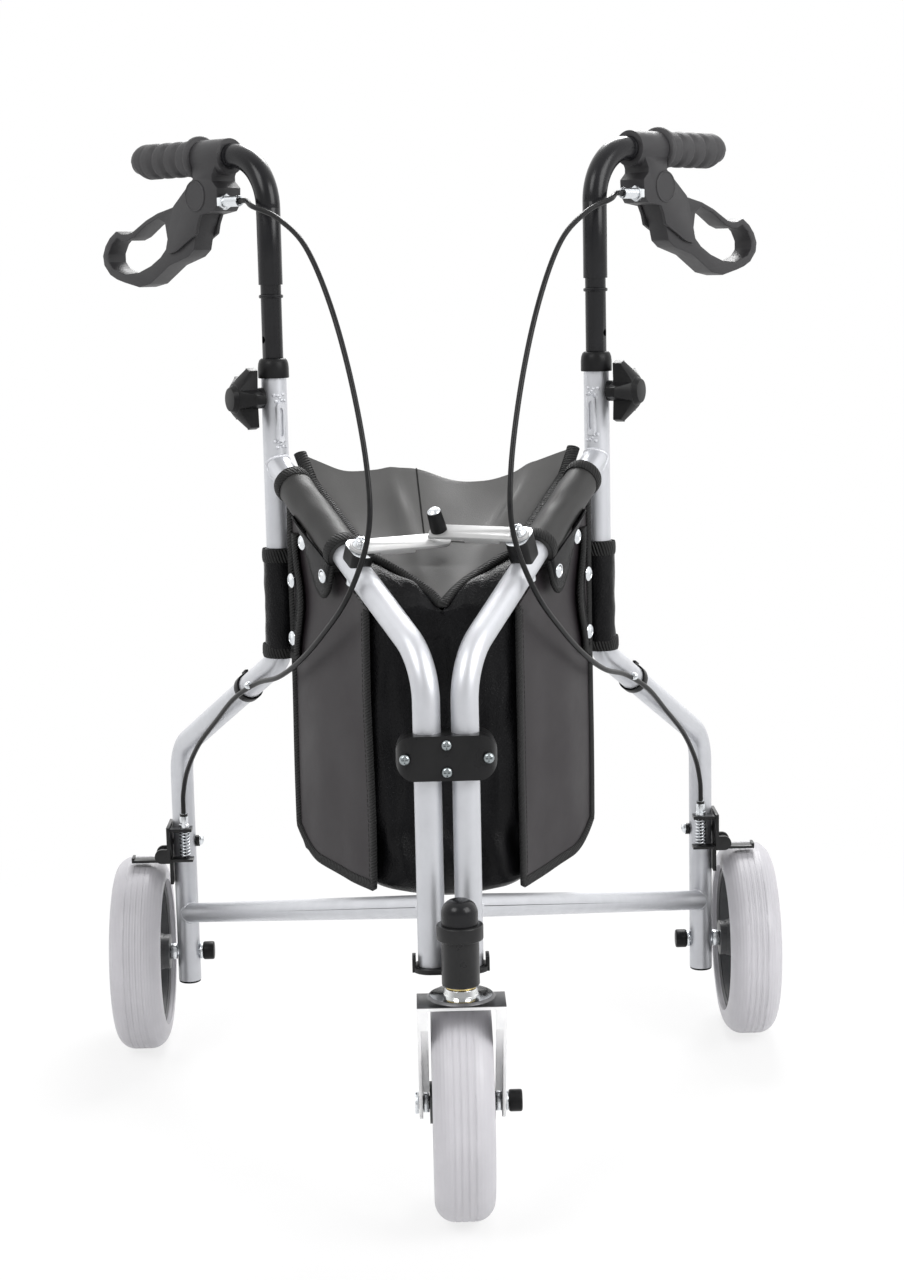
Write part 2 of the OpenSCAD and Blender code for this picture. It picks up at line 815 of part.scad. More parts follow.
// Point of the cable's route, which widens with the brakes and rises with the levers
function route_point(p) = [
  p[0] * brake_wire_x / cable_route[len(cable_route) - 1][0],
  p[1] * brake_y / cable_route[len(cable_route) - 1][1],
  p[2] < column_bend_z ? p[2] : column_bend_z + (p[2] - column_bend_z) * lever_rise
];

module cable(side) {
  cable_steps = 3;
  cable_sides = 8;
  n = len(cable_route) - 1;
  first = route_point(cable_route[0]);
  last = route_point(cable_route[n]);
  route = [
    for (i = [0 : n])
      route_point(cable_route[i]) + pow(1 - i / n, end_hold) * (cable_start - first)
        + pow(i / n, end_hold) * (cable_end - last)
  ];
  color(black) on_side(side)
    swept_tube(spline(route, cable_steps), cable_d / 2, cable_sides, [0, 0, 1]);
}

// Clip that straps the cable to the falling run of the rear tube

module cable_clip(side) {
  clip_z = upright_bend_z - (clip_s - upright_s) * tan(drop_angle);
  color(black) on_side(side) half()
    translate([clip_s, 0, clip_z]) rotate([0, drop_angle, 0]) along_x() difference() {
      union() {
        cylinder(r = tube_r + seat_gap + clip_t, h = clip_w, center = true);
        translate([-tube_r - clip_tab, -clip_t, -clip_w / 2])
          cube([clip_tab, 2 * clip_t, clip_w]);
      }
      cylinder(r = tube_r + seat_gap, h = clip_w + 2 * overrun, center = true);
    }
}

// Handle with its brake lever

module handle_tube(side) {
  color(black) on_side(side) handle() difference() {
    union() {
      translate([0, 0, shoulder_z]) upright_plane() rotate([0, 0, 90])
        bent_pipe(handle_runs, [handle_turn], handle_bend_r, bar_d / 2, slide_d / 2 - handle_wall);
      translate([0, 0, stem_foot_z]) cylinder(d = slide_d, h = shoulder_z - stem_foot_z + overrun);
    }
    translate([0, 0, stem_foot_z - overrun])
      cylinder(r = slide_d / 2 - handle_wall, h = shoulder_z - stem_foot_z + 3 * overrun);
    for (k = [0 : settings - 1])
      translate([0, 0, knob_z + (k - (settings - 1) / 2) * setting_step])
        rotate([90, 0, handle_out])
          cylinder(r = knob_stud_r + hole_fit, h = slide_d);
  }
}

module grip(side) {
  color(charcoal) on_side(side) handle() translate([grip_start, 0, grip_z]) along_x() difference() {
    union() {
      cylinder(r = grip_flange_r, h = grip_flange_l);
      cylinder(d = grip_d, h = grip_l - grip_end_l);
      translate([0, 0, grip_l - grip_end_l])
        cylinder(r1 = grip_d / 2, r2 = grip_d / 2 - grip_end_l / 2, h = grip_end_l);
    }
    translate([0, 0, -overrun]) cylinder(r = bar_d / 2 + run_fit, h = grip_l);
    for (k = [0 : grip_ribs - 1])
      translate([0, 0, grip_rib_start + k * grip_rib_l]) rotate_extrude()
        translate([grip_d / 2 + grip_groove, 0]) circle(r = 2 * grip_groove);
  }
}

// Frame of the lever pin, in the plane of the grip
module lever_seat() {
  handle() translate([lever_pivot_x, 0, lever_pivot_z]) children();
}

module lever_housing(side) {
  w = lever_w + 2 * cheek_t + 2 * seat_gap;
  clamp_l = grip_start - clamp_x - clamp_gap;
  color(charcoal) on_side(side) difference() {
    union() {
      difference() {
        union() {
          lever_seat() upright_plane()
            linear_extrude(height = w, center = true) polygon(lever_body_h * housing_shares);
          handle() translate([clamp_x, 0, grip_z])
            along_x() cylinder(r = bar_d / 2 + clamp_t, h = clamp_l);
        }
        lever_seat() upright_plane()
          linear_extrude(height = lever_w + 2 * seat_gap, center = true)
            polygon(lever_body_h * pocket_shares);
      }
      lever_seat() along_y() cylinder(d = lever_pin_d, h = w, center = true);
    }
    handle() translate([clamp_x - overrun, 0, grip_z])
      along_x() cylinder(r = bar_d / 2 + run_fit, h = clamp_l + bar_d);
  }
}

module barrel_adjuster(side) {
  color(zinc) on_side(side) lever_seat()
    translate([-barrel_reach - barrel_l, -barrel_side, barrel_lift]) along_x() difference() {
      union() {
        cylinder(r = barrel_r, h = barrel_l);
        translate([0, 0, barrel_l - barrel_nut_l])
          cylinder(r = barrel_nut_r, h = barrel_nut_l, $fn = 6);
      }
      translate([0, 0, -overrun]) cylinder(r = cable_d / 2 + cable_fit, h = barrel_l / 2);
    }
}

module lever(side) {
  color(charcoal) on_side(side) lever_seat() difference() {
    union() {
      upright_plane() linear_extrude(height = lever_w, center = true) difference() {
        polygon(lever_l * lever_edge_shares);
        polygon(lever_l * lever_hole_shares);
      }
      along_y() cylinder(r = lever_root_r, h = lever_w, center = true);
    }
    along_y() cylinder(r = lever_pin_d / 2 + run_fit, h = lever_w + 2 * overrun, center = true);
  }
}

// Star knob that clamps the handle stem

module star_knob(side) {
  stud_tip = slide_d / 2 + seat_gap;
  face = tube_r + seat_gap;
  color(black) on_side(side) half() translate([upright_s, 0, knob_z]) rotate([90, 0, 0]) {
    translate([0, 0, stud_tip]) cylinder(r = knob_stud_r, h = face + overrun - stud_tip);
    translate([0, 0, face]) cylinder(r = knob_boss_r, h = knob_boss_l + overrun);
    translate([0, 0, face + knob_boss_l]) intersection() {
      linear_extrude(height = knob_head_l) polygon(knob_points);
      union() {
        cylinder(r = knob_d / 2, h = knob_tip_l);
        translate([0, 0, knob_tip_l - overrun])
          cylinder(r1 = knob_d / 2, r2 = knob_valley_r, h = knob_head_l - knob_tip_l + overrun);
      }
    }
    translate([0, 0, face + knob_boss_l + knob_head_l - overrun])
      cylinder(r1 = knob_cap_r + overrun, r2 = knob_cap_r - knob_cap_l / 2, h = knob_cap_l + overrun);
  }
}

// Links between the half frames

module link_bolt(side) {
  h = side < 0 ? left_link_h : right_link_h;
  foot = tube_r + seat_gap;
  color(zinc) on_side(side) link_seat() {
    translate([0, 0, -foot - link_nut_h])
      cylinder(r = link_bolt_r, h = foot + link_nut_h + h + link_t + seat_gap + overrun);
    translate([0, 0, -foot - link_nut_h]) cylinder(r = link_nut_r, h = link_nut_h);
    translate([0, 0, h + link_t + seat_gap])
      cylinder(r1 = link_head_r, r2 = link_head_r - link_head_h / 2, h = link_head_h);
    difference() {
      translate([0, 0, saddle_foot]) linear_extrude(height = h - seat_gap - saddle_foot)
        round_rect(saddle_l, saddle_w, saddle_w / 2 - overrun);
      along_x() cylinder(r = tube_r + weld_gap, h = 2 * saddle_l, center = true);
    }
  }
}

module link_bar(side) {
  h = side < 0 ? left_link_h : right_link_h;
  l = link_reach(h);
  past = side < 0 ? 0 : link_past;
  flange_start = link_flange_start_share * l;
  flange_end = link_flange_end_share * l;
  color(pale_metal) on_side(side) link_seat() translate([0, 0, h]) rotate([0, 0, 90]) difference() {
    union() {
      linear_extrude(height = link_t) {
        strip(l, link_w);
        translate([0, -link_w / 2]) square([l + past, link_w]);
      }
      for (s = [-1, 1])
        translate([flange_start, s * (link_w - link_flange_t) / 2 - link_flange_t / 2, -link_flange_h])
          cube([flange_end - flange_start, link_flange_t, link_flange_h + overrun]);
    }
    translate([0, 0, -overrun]) cylinder(r = link_bolt_r + run_fit, h = link_t + 2 * overrun);
  }
}

module link_knob() {
  foot = link_stack / 3;
  color(black) link_seat() translate([0, link_reach(right_link_h), right_link_h]) {
    translate([0, 0, link_t])
      cylinder(r1 = knob_post_r, r2 = knob_post_r - knob_post_taper, h = knob_post_h);
    translate([0, 0, link_t + knob_post_h])
      cylinder(r1 = knob_screw_r, r2 = knob_screw_r / 2, h = knob_screw_h);
    translate([0, 0, -foot]) cylinder(r = link_bolt_r, h = foot);
  }
}

// Hinge block and foot bracket of the front column

module block_half(front) {
  y = front ? -block_depth / 2 : seat_gap / 2;
  difference() {
    translate([0, column_y, block_z]) intersection() {
      linear_extrude(height = block_h, center = true) intersection() {
        round_rect(block_w, block_depth, block_round);
        translate([-block_w / 2, y]) square([block_w, (block_depth - seat_gap) / 2]);
      }
      upright_plane() linear_extrude(height = 2 * block_depth, center = true)
        round_rect(block_w, block_h, block_round);
    }
    for (s = [-1, 1])
      translate([s * column_x, column_y, block_z])
        cylinder(r = tube_r + run_fit, h = block_h + 2 * overrun, center = true);
    for (p = screw_places)
      translate([p[0], column_y - block_depth / 2 - overrun, block_z + p[1]]) along_y() {
        cylinder(r = screw_r + hole_fit, h = block_depth - 2 * screw_head_h);
        cylinder(r = screw_head_r + hole_fit, h = screw_head_h - screw_proud + overrun);
      }
  }
}

module hinge_block_front() {
  color(black) block_half(true);
}

module hinge_block_rear() {
  color(black) block_half(false);
}

module hinge_block_screws() {
  color(zinc)
    for (p = screw_places)
      translate([p[0], column_y - block_depth / 2 - screw_proud, block_z + p[1]]) along_y() {
        cylinder(r = screw_head_r, h = screw_head_h);
        cylinder(r = screw_r, h = block_depth - 3 * screw_head_h);
      }
}

module foot_bracket() {
  top = column_foot_z - seat_gap;
  tongue_front = swivel_y + housing_d / 4;
  tongue_back = column_y - tube_r - seat_gap;
  color(black) difference() {
    union() {
      translate([0, column_y, top - foot_t])
        linear_extrude(height = foot_t) round_rect(foot_w, foot_depth, foot_depth / 2 - overrun);
      for (s = [-1, 1]) {
        translate([s * column_x, column_y, top - overrun])
          cylinder(r = tube_r - tube_wall - run_fit, h = foot_peg_h + overrun);
        translate([s * (foot_w - foot_lip_t) / 2 - foot_lip_t / 2, column_y - foot_depth / 4, top - foot_t])
          cube([foot_lip_t, foot_depth / 2, foot_t + foot_lip_h]);
      }
      translate([caster_x - tongue_w / 2, tongue_front, top - foot_t])
        cube([tongue_w, tongue_back - tongue_front, tongue_h]);
    }
    translate([caster_x, swivel_y, 0]) cylinder(r = housing_d / 2 + weld_gap, h = reach);
  }
}

// Caster

module at_swivel() {
  translate([caster_x, swivel_y, 0]) children();
}

module caster_housing() {
  h = housing_h + collar_h;
  color(black) at_swivel() translate([0, 0, housing_z]) difference() {
    union() {
      cylinder(d = housing_d, h = h);
      translate([0, 0, housing_h]) cylinder(d = collar_d, h = collar_h);
    }
    translate([0, 0, -overrun]) cylinder(r = stem_d / 2 + bearing_wall, h = h + 2 * overrun);
  }
}

module caster_cap() {
  z = housing_z + housing_h + collar_h + seat_gap;
  r = dome_d / 2;
  color(black) at_swivel() translate([0, 0, z]) difference() {
    union() {
      cylinder(r = r, h = dome_h - r / 2);
      translate([0, 0, dome_h - r / 2]) intersection() {
        translate([0, 0, -r]) sphere(r = r * sqrt(2), $fn = 64);
        cylinder(r = r, h = r);
      }
    }
    translate([0, 0, -overrun]) cylinder(r = r - cap_wall, h = dome_h - r / 2 + overrun);
  }
}

module caster_bearings() {
  ring_r = stem_d / 2 + bearing_wall;
  color(zinc) at_swivel()
    for (z = [housing_z, housing_z + housing_h + collar_h - bearing_h])
      translate([0, 0, z]) difference() {
        union() {
          cylinder(r = ring_r - run_fit, h = bearing_h);
          if (z == housing_z)
            translate([0, 0, -bearing_flange_h]) {
              cylinder(r = ring_r + overrun, h = bearing_flange_h - seat_gap / 2);
              cylinder(r = ring_r - run_fit, h = bearing_flange_h + overrun);
            }
        }
        translate([0, 0, -bearing_flange_h - overrun])
          cylinder(r = stem_d / 2 + run_fit, h = bearing_h + bearing_flange_h + 2 * overrun);
      }
}

module caster_stem() {
  base = crown_z + fork_t;
  top = housing_z + housing_h + collar_h + seat_gap;
  cup_top = housing_z - bearing_flange_h - seat_gap;
  color(pale_metal) at_swivel() {
    translate([0, 0, base]) cylinder(d = stem_d, h = top + nut_h - base);
    translate([0, 0, top]) cylinder(r = nut_r, h = nut_h, $fn = 6);
    translate([0, 0, base + dish_lift]) cylinder(r1 = dish_r, r2 = dish_r - dish_t, h = dish_t);
    translate([0, 0, base]) cylinder(r1 = cup_r, r2 = cup_r - cup_h / 2, h = cup_top - base);
  }
}

module fork_side() {
  polygon([
    [-fork_front, crown_z + fork_t], [fork_back, crown_z + fork_t], [trail + fork_eye_r, wheel_r],
    [trail, wheel_r - fork_eye_r / 2], [trail - fork_eye_r, wheel_r], [-fork_front, wheel_d - fork_eye_r]
  ]);
  translate([trail, wheel_r]) circle(r = fork_eye_r);
}

module fork_edge() {
  polygon([
    [-fork_front, crown_z + fork_t], [-fork_front + fork_t, crown_z + fork_t],
    [-fork_front + fork_t, wheel_d - fork_eye_r], [trail - fork_eye_r + fork_t, wheel_r + fork_eye_r],
    [trail - fork_eye_r, wheel_r + fork_eye_r], [-fork_front, wheel_d - fork_eye_r]
  ]);
}

module caster_fork() {
  color(pale_metal) at_swivel() difference() {
    union() {
      for (s = [-1, 1])
        translate([s * (fork_x + fork_t / 2), 0, 0])
          rotate([90, 0, 90]) linear_extrude(height = fork_t, center = true) fork_side();
      for (s = [-1, 1])
        translate([s * (fork_x - fork_lip / 2 + overrun / 2), 0, 0])
          rotate([90, 0, 90]) linear_extrude(height = fork_lip + overrun, center = true) fork_edge();
      translate([-fork_x - overrun, -fork_front, crown_z])
        cube([2 * fork_x + 2 * overrun, fork_front + fork_back, fork_t]);
    }
    translate([0, trail, wheel_r]) along_x() cylinder(r = axle_r + hole_fit, h = reach, center = true);
  }
}

module front_axle() {
  outer = fork_x + fork_t + seat_gap;
  spacer = hub_l / 2 + seat_gap;
  color(zinc) translate([caster_x, front_y, wheel_r]) along_x() {
    translate([0, 0, -outer]) cylinder(r = axle_r, h = 2 * outer + axle_washer_h + axle_tail);
    translate([0, 0, -outer - axle_head_h]) cylinder(r = axle_head_r, h = axle_head_h);
    translate([0, 0, outer]) cylinder(r = axle_nut_r, h = axle_washer_h);
    for (s = [-1, 1])
      translate([0, 0, s * (spacer + fork_x - seat_gap) / 2])
        cylinder(r = spacer_r, h = fork_x - seat_gap - spacer, center = true);
  }
}

module front_axle_cap() {
  x = caster_x + fork_x + fork_t + 2 * seat_gap + axle_washer_h + axle_cap_l;
  color(black) translate([x, front_y, wheel_r])
    rotate([0, -90, 0]) axle_cup();
}

module front_wheel_seat() {
  translate([caster_x, front_y, wheel_r]) along_x() children();
}

module front_tyre() {
  color(tyre_grey) front_wheel_seat() tyre_form();
}

module front_hub() {
  color(charcoal) front_wheel_seat() hub_form();
}

// Bag

function half_x(s) = column_x + s * sin(open_angle);
function half_y(s) = column_y + s * cos(open_angle);
function run_z(s) = column_bend_z + s * tan(rise_angle);

// Plan of the bag between the half frames, drawn in by a wall
module bag_plan(inset) {
  edge = inset / cos(open_angle);
  front_s = bag_front_s + edge;
  back_s = bag_back_s - edge;
  polygon([
    [-half_x(front_s) + edge, half_y(front_s)], [half_x(front_s) - edge, half_y(front_s)],
    [half_x(back_s) - edge, half_y(back_s)], [-half_x(back_s) + edge, half_y(back_s)]
  ]);
}

// Sloping plane of the bag's top, with its origin under the crease of the lid
module bag_top() {
  translate([0, half_y(bag_crease_s), run_z(bag_crease_s) - bag_drop])
    rotate([top_slope, 0, 0])
      children();
}

module storage_bag() {
  h = run_z(bag_back_s) - bag_floor_z;
  color(vinyl) difference() {
    translate([0, 0, bag_floor_z]) linear_extrude(height = h) bag_plan(0);
    difference() {
      translate([0, 0, bag_floor_z + bag_wall]) linear_extrude(height = h) bag_plan(bag_wall);
      bag_top() translate([-reach / 2, -reach, -bag_wall]) cube([reach, reach, reach]);
    }
    bag_top() translate([-reach / 2, -reach / 2, 0]) cube([reach, reach, reach]);
  }
}

module bag_lid() {
  front = seat_gap + bag_roll_r;
  back = (half_y(bag_back_s) - half_y(bag_crease_s)) / cos(top_slope) + bag_lid_over;
  front_x = half_x(bag_crease_s) - bag_lid_gap / cos(open_angle);
  back_x = half_x(bag_back_s) - bag_lid_gap / cos(open_angle);
  color(vinyl) bag_top() {
    translate([0, 0, 2 * seat_gap]) linear_extrude(height = bag_lid_t)
      polygon([[-front_x, front], [front_x, front], [back_x, back], [-back_x, back]]);
    translate([0, front, seat_gap + bag_roll_r])
      along_x() cylinder(r = bag_roll_r, h = 2 * front_x, center = true);
  }
}

module bag_sleeve(side) {
  a = [sleeve_start_s, run_z(sleeve_start_s)];
  b = [sleeve_end_s, run_z(sleeve_end_s)];
  color(vinyl) on_side(side) half() {
    difference() {
      upright_plane() rod(a, b, sleeve_d / 2);
      upright_plane() rod(along(a, b, -overrun), along(b, a, -overrun), tube_r + seat_gap);
    }
    translate([upright_s, 0, upright_sleeve_z]) difference() {
      cylinder(d = upright_sleeve_d, h = upright_sleeve_h);
      translate([0, 0, -overrun]) cylinder(r = tube_r + seat_gap, h = upright_sleeve_h + 2 * overrun);
    }
  }
}

hinge_block_front();
hinge_block_rear();
hinge_block_screws();
foot_bracket();
caster_housing();
caster_cap();
caster_bearings();
caster_stem();
caster_fork();
front_axle();
front_axle_cap();
front_hub();
front_tyre();
storage_bag();
bag_lid();
link_knob();
front_tube(left);  // left_front_tube
rear_tube(left);  // left_rear_tube
cross_tube(left);  // left_cross_tube
collar(left);  // left_collar
rear_axle(left);  // left_axle
rear_axle_cap(left);  // left_axle_cap
rear_hub(left);  // left_hub
rear_tyre(left);  // left_tyre
brake_bracket(left);  // left_brake_bracket
brake_arm(left);  // left_brake_arm
brake_spring(left);  // left_brake_spring
cable(left);  // left_cable
cable_clip(left);  // left_cable_clip
barrel_adjuster(left);  // left_barrel_adjuster
handle_tube(left);  // left_handle_tube
grip(left);  // left_grip
lever_housing(left);  // left_lever_housing
lever(left);  // left_lever
star_knob(left);  // left_star_knob
link_bar(left);  // left_link_bar
link_bolt(left);  // left_link_bolt
bag_sleeve(left);  // left_bag_sleeve
front_tube(right);  // right_front_tube
rear_tube(right);  // right_rear_tube
cross_tube(right);  // right_cross_tube
collar(right);  // right_collar
rear_axle(right);  // right_axle
rear_axle_cap(right);  // right_axle_cap
rear_hub(right);  // right_hub
rear_tyre(right);  // right_tyre
brake_bracket(right);  // right_brake_bracket
brake_arm(right);  // right_brake_arm
brake_spring(right);  // right_brake_spring
cable(right);  // right_cable
cable_clip(right);  // right_cable_clip
barrel_adjuster(right);  // right_barrel_adjuster
handle_tube(right);  // right_handle_tube
grip(right);  // right_grip
lever_housing(right);  // right_lever_housing
lever(right);  // right_lever
star_knob(right);  // right_star_knob
link_bar(right);  // right_link_bar
link_bolt(right);  // right_link_bolt
bag_sleeve(right);  // right_bag_sleeve
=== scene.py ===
import json
import math

import bmesh
import bpy
from bpy.props import FloatProperty, FloatVectorProperty, IntProperty, PointerProperty
from mathutils import Euler, Matrix, Vector, noise
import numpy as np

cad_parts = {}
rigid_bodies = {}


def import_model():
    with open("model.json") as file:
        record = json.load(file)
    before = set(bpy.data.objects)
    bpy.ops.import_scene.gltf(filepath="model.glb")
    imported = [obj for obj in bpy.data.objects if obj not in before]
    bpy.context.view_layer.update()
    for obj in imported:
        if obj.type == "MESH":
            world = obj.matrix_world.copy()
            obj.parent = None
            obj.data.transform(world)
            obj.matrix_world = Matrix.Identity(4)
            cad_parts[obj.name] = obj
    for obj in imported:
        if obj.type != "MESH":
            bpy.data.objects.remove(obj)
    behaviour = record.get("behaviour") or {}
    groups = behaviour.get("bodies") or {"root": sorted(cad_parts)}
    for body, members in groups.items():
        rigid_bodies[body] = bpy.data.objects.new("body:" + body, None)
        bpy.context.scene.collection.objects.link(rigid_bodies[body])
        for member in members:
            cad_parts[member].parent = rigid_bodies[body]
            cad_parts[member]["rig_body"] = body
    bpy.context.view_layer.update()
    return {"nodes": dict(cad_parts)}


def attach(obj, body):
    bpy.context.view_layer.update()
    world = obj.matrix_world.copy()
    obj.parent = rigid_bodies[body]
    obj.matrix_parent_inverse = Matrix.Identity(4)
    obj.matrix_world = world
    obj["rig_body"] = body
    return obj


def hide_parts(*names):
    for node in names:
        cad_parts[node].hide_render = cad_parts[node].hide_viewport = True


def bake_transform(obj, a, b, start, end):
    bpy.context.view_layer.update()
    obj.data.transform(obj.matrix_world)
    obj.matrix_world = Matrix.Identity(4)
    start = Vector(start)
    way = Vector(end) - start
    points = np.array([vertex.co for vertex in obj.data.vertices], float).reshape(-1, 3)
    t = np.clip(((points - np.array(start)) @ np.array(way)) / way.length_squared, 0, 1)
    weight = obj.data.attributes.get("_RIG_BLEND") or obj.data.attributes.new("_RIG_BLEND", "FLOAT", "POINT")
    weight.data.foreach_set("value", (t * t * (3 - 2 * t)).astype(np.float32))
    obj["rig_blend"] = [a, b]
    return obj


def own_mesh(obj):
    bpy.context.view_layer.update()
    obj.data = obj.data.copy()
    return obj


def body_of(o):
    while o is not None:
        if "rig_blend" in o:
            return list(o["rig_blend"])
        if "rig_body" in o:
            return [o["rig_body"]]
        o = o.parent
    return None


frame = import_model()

bl_info = {
    "name": "Three wheel rollator",
    "version": (1, 0, 0),
    "blender": (4, 5, 0),
    "location": "View3D > Sidebar > Rollator",
    "description": "Dresses the packed three wheel rollator: tubes, wheels, brakes, handles and bag",
    "category": "Object",
}

SIDES = (("left", -1), ("right", 1))

# Plan of the frame in metres. S is the distance from a half frame's front tube, along the half frame.
COLUMN = (0.0152, -0.225)           # right front tube
PLAN_TURN = 28.3                    # degrees from straight back to a half frame
LEAN = (0.47409, 0.88048)           # the same turn as a direction
UPRIGHT_S, LEG_S = 0.264, 0.50768   # upright and rear leg

# Tubes: radii, the front tube's upper run, the cross tube's two ends and the foot of the rear leg.
TUBE_R, CROSS_R = 0.0111, 0.0095
SEAM = 0.0002                       # clearance of what is wrapped round or welded to a tube
RUN_FOOT, RISE = 0.458, math.radians(28)
CROSS_FRONT_Z, CROSS_REAR_Z = 0.260, 0.134
LEG_FOOT_Z = 0.066

# Wheels: plan of their middles, and their radius. The caster turns about SWIVEL.
WHEELS = (("left", -0.30088, 0.222), ("right", 0.30088, 0.222), ("front", 0.007, -0.222))
WHEEL_R = 0.095
SWIVEL = (0.007, -0.270)

# Handles: degrees that a grip turns from the half frame, start of the grip, and the lever's pin.
GRIP_TURN = 14.7
GRIP_START, LEVER_PIN = (0.088, 0, 0.863), (0.084, 0, 0.830)

# Links: where a bolt sits, and how far the underside of each bar stands off the tube's axis.
LINK_S = 0.117
BAR_RISE = {-1: 0.0199, 1: 0.0284}

# Bag: a point (y, z) and the slope of its top, and the crease that its flap turns about.
TOP_EDGE, TOP_SLOPE = (-0.07356, 0.53041), math.radians(31.13)
CREASE_Y = -0.0735

# Right brake cable, from its barrel adjuster to the ferrule of the brake, in millimetres.
CABLE_ROUTE = [
    (166.3, 23.6, 824), (160, 15, 824), (157, 2, 822), (152, -12, 818), (131, -30, 808), (107, -58, 784),
    (86, -91, 735), (69, -121, 670), (58, -147, 600), (59, -155, 550), (76, -150, 502), (100, -108, 463),
    (122, -64, 434), (143, -21, 413), (165, 24, 400), (189, 67, 379), (210, 112, 350),
    (232, 155, 318), (247, 188, 286), (253, 201, 262), (254, 203, 247), (254, 203, 231),
]


class RollatorFinish(bpy.types.PropertyGroup):
    """Colours of the finishes"""

    silver: FloatVectorProperty(name="Frame", description="Satin paint of the frame tubes", subtype="COLOR",
                                size=3, min=0, max=1, default=(0.60, 0.61, 0.64))
    gloss_black: FloatVectorProperty(name="Handle tubes", description="Gloss paint of the handle tubes",
                                     subtype="COLOR", size=3, min=0, max=1, default=(0.008, 0.008, 0.009))
    plastic: FloatVectorProperty(name="Levers", description="Moulded plastic of levers and housings",
                                 subtype="COLOR", size=3, min=0, max=1, default=(0.025, 0.0243, 0.026))
    rubber: FloatVectorProperty(name="Grips", description="Rubber of the hand grips", subtype="COLOR",
                                size=3, min=0, max=1, default=(0.033, 0.0322, 0.034))
    tyre: FloatVectorProperty(name="Tyres", description="Grey tyres", subtype="COLOR",
                              size=3, min=0, max=1, default=(0.54, 0.53, 0.56))
    vinyl: FloatVectorProperty(name="Bag front", description="Shiny leatherette of the bag", subtype="COLOR",
                               size=3, min=0, max=1, default=(0.004, 0.004, 0.0045))
    panel: FloatVectorProperty(name="Bag sides", description="Matt side panels of the bag", subtype="COLOR",
                               size=3, min=0, max=1, default=(0.0125, 0.0095, 0.0115))
    # The flap's grey is partly the cloth's own tone and partly a painted sheen of the light on the top; the
    # sleeves keep the cloth's darker tone.
    flap: FloatVectorProperty(name="Bag flap", description="Soft top flap of the bag", subtype="COLOR",
                              size=3, min=0, max=1, default=(0.066, 0.065, 0.064))


class RollatorSizes(bpy.types.PropertyGroup):
    """Sizes of the small work"""

    weld: FloatProperty(name="Weld bead", description="Width of a weld ripple", unit="LENGTH",
                        default=0.0034, min=0.001, max=0.008)
    tape: FloatProperty(name="Binding tape", description="Width of the tape that binds the bag's edges",
                        unit="LENGTH", default=0.009, min=0.004, max=0.02)
    stitch: FloatProperty(name="Stitch", description="Length of a stitch and its gap", unit="LENGTH",
                          default=0.0042, min=0.002, max=0.01)
    cable: FloatProperty(name="Cable", description="Diameter of the brake cables", unit="LENGTH",
                         default=0.0046, min=0.003, max=0.008)
    spring_turns: IntProperty(name="Spring turns", description="Turns of each brake spring",
                              default=8, min=4, max=12)


# Places

def half_point(side, s, z, out=0.0):
    """Point of a half frame at distance s from its front tube, out metres outboard of its plane."""
    x = COLUMN[0] + LEAN[0] * s + LEAN[1] * out
    return Vector((side * x, COLUMN[1] + LEAN[1] * s - LEAN[0] * out, z))


def outboard(side):
    """Direction square to a half frame, away from the middle."""
    return half_point(side, 0, 0, 1) - half_point(side, 0, 0)


def run_z(s):
    """Height of the axis of a front tube's upper run."""
    return RUN_FOOT + s * math.tan(RISE)


def top_z(y):
    """Height of the sloping top of the bag."""
    return TOP_EDGE[1] + (y - TOP_EDGE[0]) * math.tan(TOP_SLOPE)


def handle_frame(side):
    """Frame of a handle: X runs out along the grip, Z up, origin on the upright's axis at the floor."""
    foot = half_point(1, UPRIGHT_S, 0)
    turn = Matrix.Translation(foot) @ Matrix.Rotation(math.radians(90 - PLAN_TURN - GRIP_TURN), 4, "Z")
    return Matrix.Diagonal((side, 1, 1, 1)) @ turn


def link_frame(side):
    """Frame of a link bolt: X runs up the tube, Z along the bolt."""
    seat = (Matrix.Translation(half_point(1, LINK_S, run_z(LINK_S)))
            @ Matrix.Rotation(math.radians(90 - PLAN_TURN), 4, "Z") @ Matrix.Rotation(-RISE, 4, "Y"))
    return Matrix.Diagonal((side, 1, 1, 1)) @ seat


def clamped(value):
    """Value held between 0 and 1."""
    return min(1.0, max(0.0, value))


# Meshes

MERGE = 0.000004                    # distance at which a CAD mesh's loose corners are one
FLAT_ANGLE = math.radians(0.6)      # triangles flatter than this to each other become one face
BEVEL_ANGLE = math.radians(32)      # edges sharper than this are softened


def smoothed(mesh, angle):
    """Smooth shading that keeps edges sharper than an angle in degrees."""
    mesh.polygons.foreach_set("use_smooth", [True] * len(mesh.polygons))
    mesh.set_sharp_from_angle(angle=math.radians(angle))


def around(count, r=1.0, ry=None):
    """Points of a circle or an oval, in order."""
    turns = [2 * math.pi * k / count for k in range(count)]
    return [(r * math.cos(a), (ry or r) * math.sin(a)) for a in turns]


def new_piece(name, bm, finish, smooth=40, outward=True):
    """Mesh object of a finished shape."""
    if outward:
        bmesh.ops.recalc_face_normals(bm, faces=bm.faces)
    mesh = bpy.data.meshes.new(name)
    bm.to_mesh(mesh)
    bm.free()
    smoothed(mesh, smooth)
    mesh.materials.append(finish)
    piece = bpy.data.objects.new(name, mesh)
    bpy.context.scene.collection.objects.link(piece)
    return piece


def with_modifiers(piece):
    """Applies a piece's modifiers to its mesh."""
    bpy.context.view_layer.update()
    graph = bpy.context.evaluated_depsgraph_get()
    mesh = bpy.data.meshes.new_from_object(piece.evaluated_get(graph), depsgraph=graph)
    piece.modifiers.clear()
    piece.data = mesh
    return piece


def carrier(node):
    """Name of the body that a CAD node rides on."""
    return body_of(frame["nodes"][node])[0]


def in_place_of(piece, node):
    """Puts a piece in a CAD node's place, on the same body."""
    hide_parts(node)
    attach(piece, carrier(node))


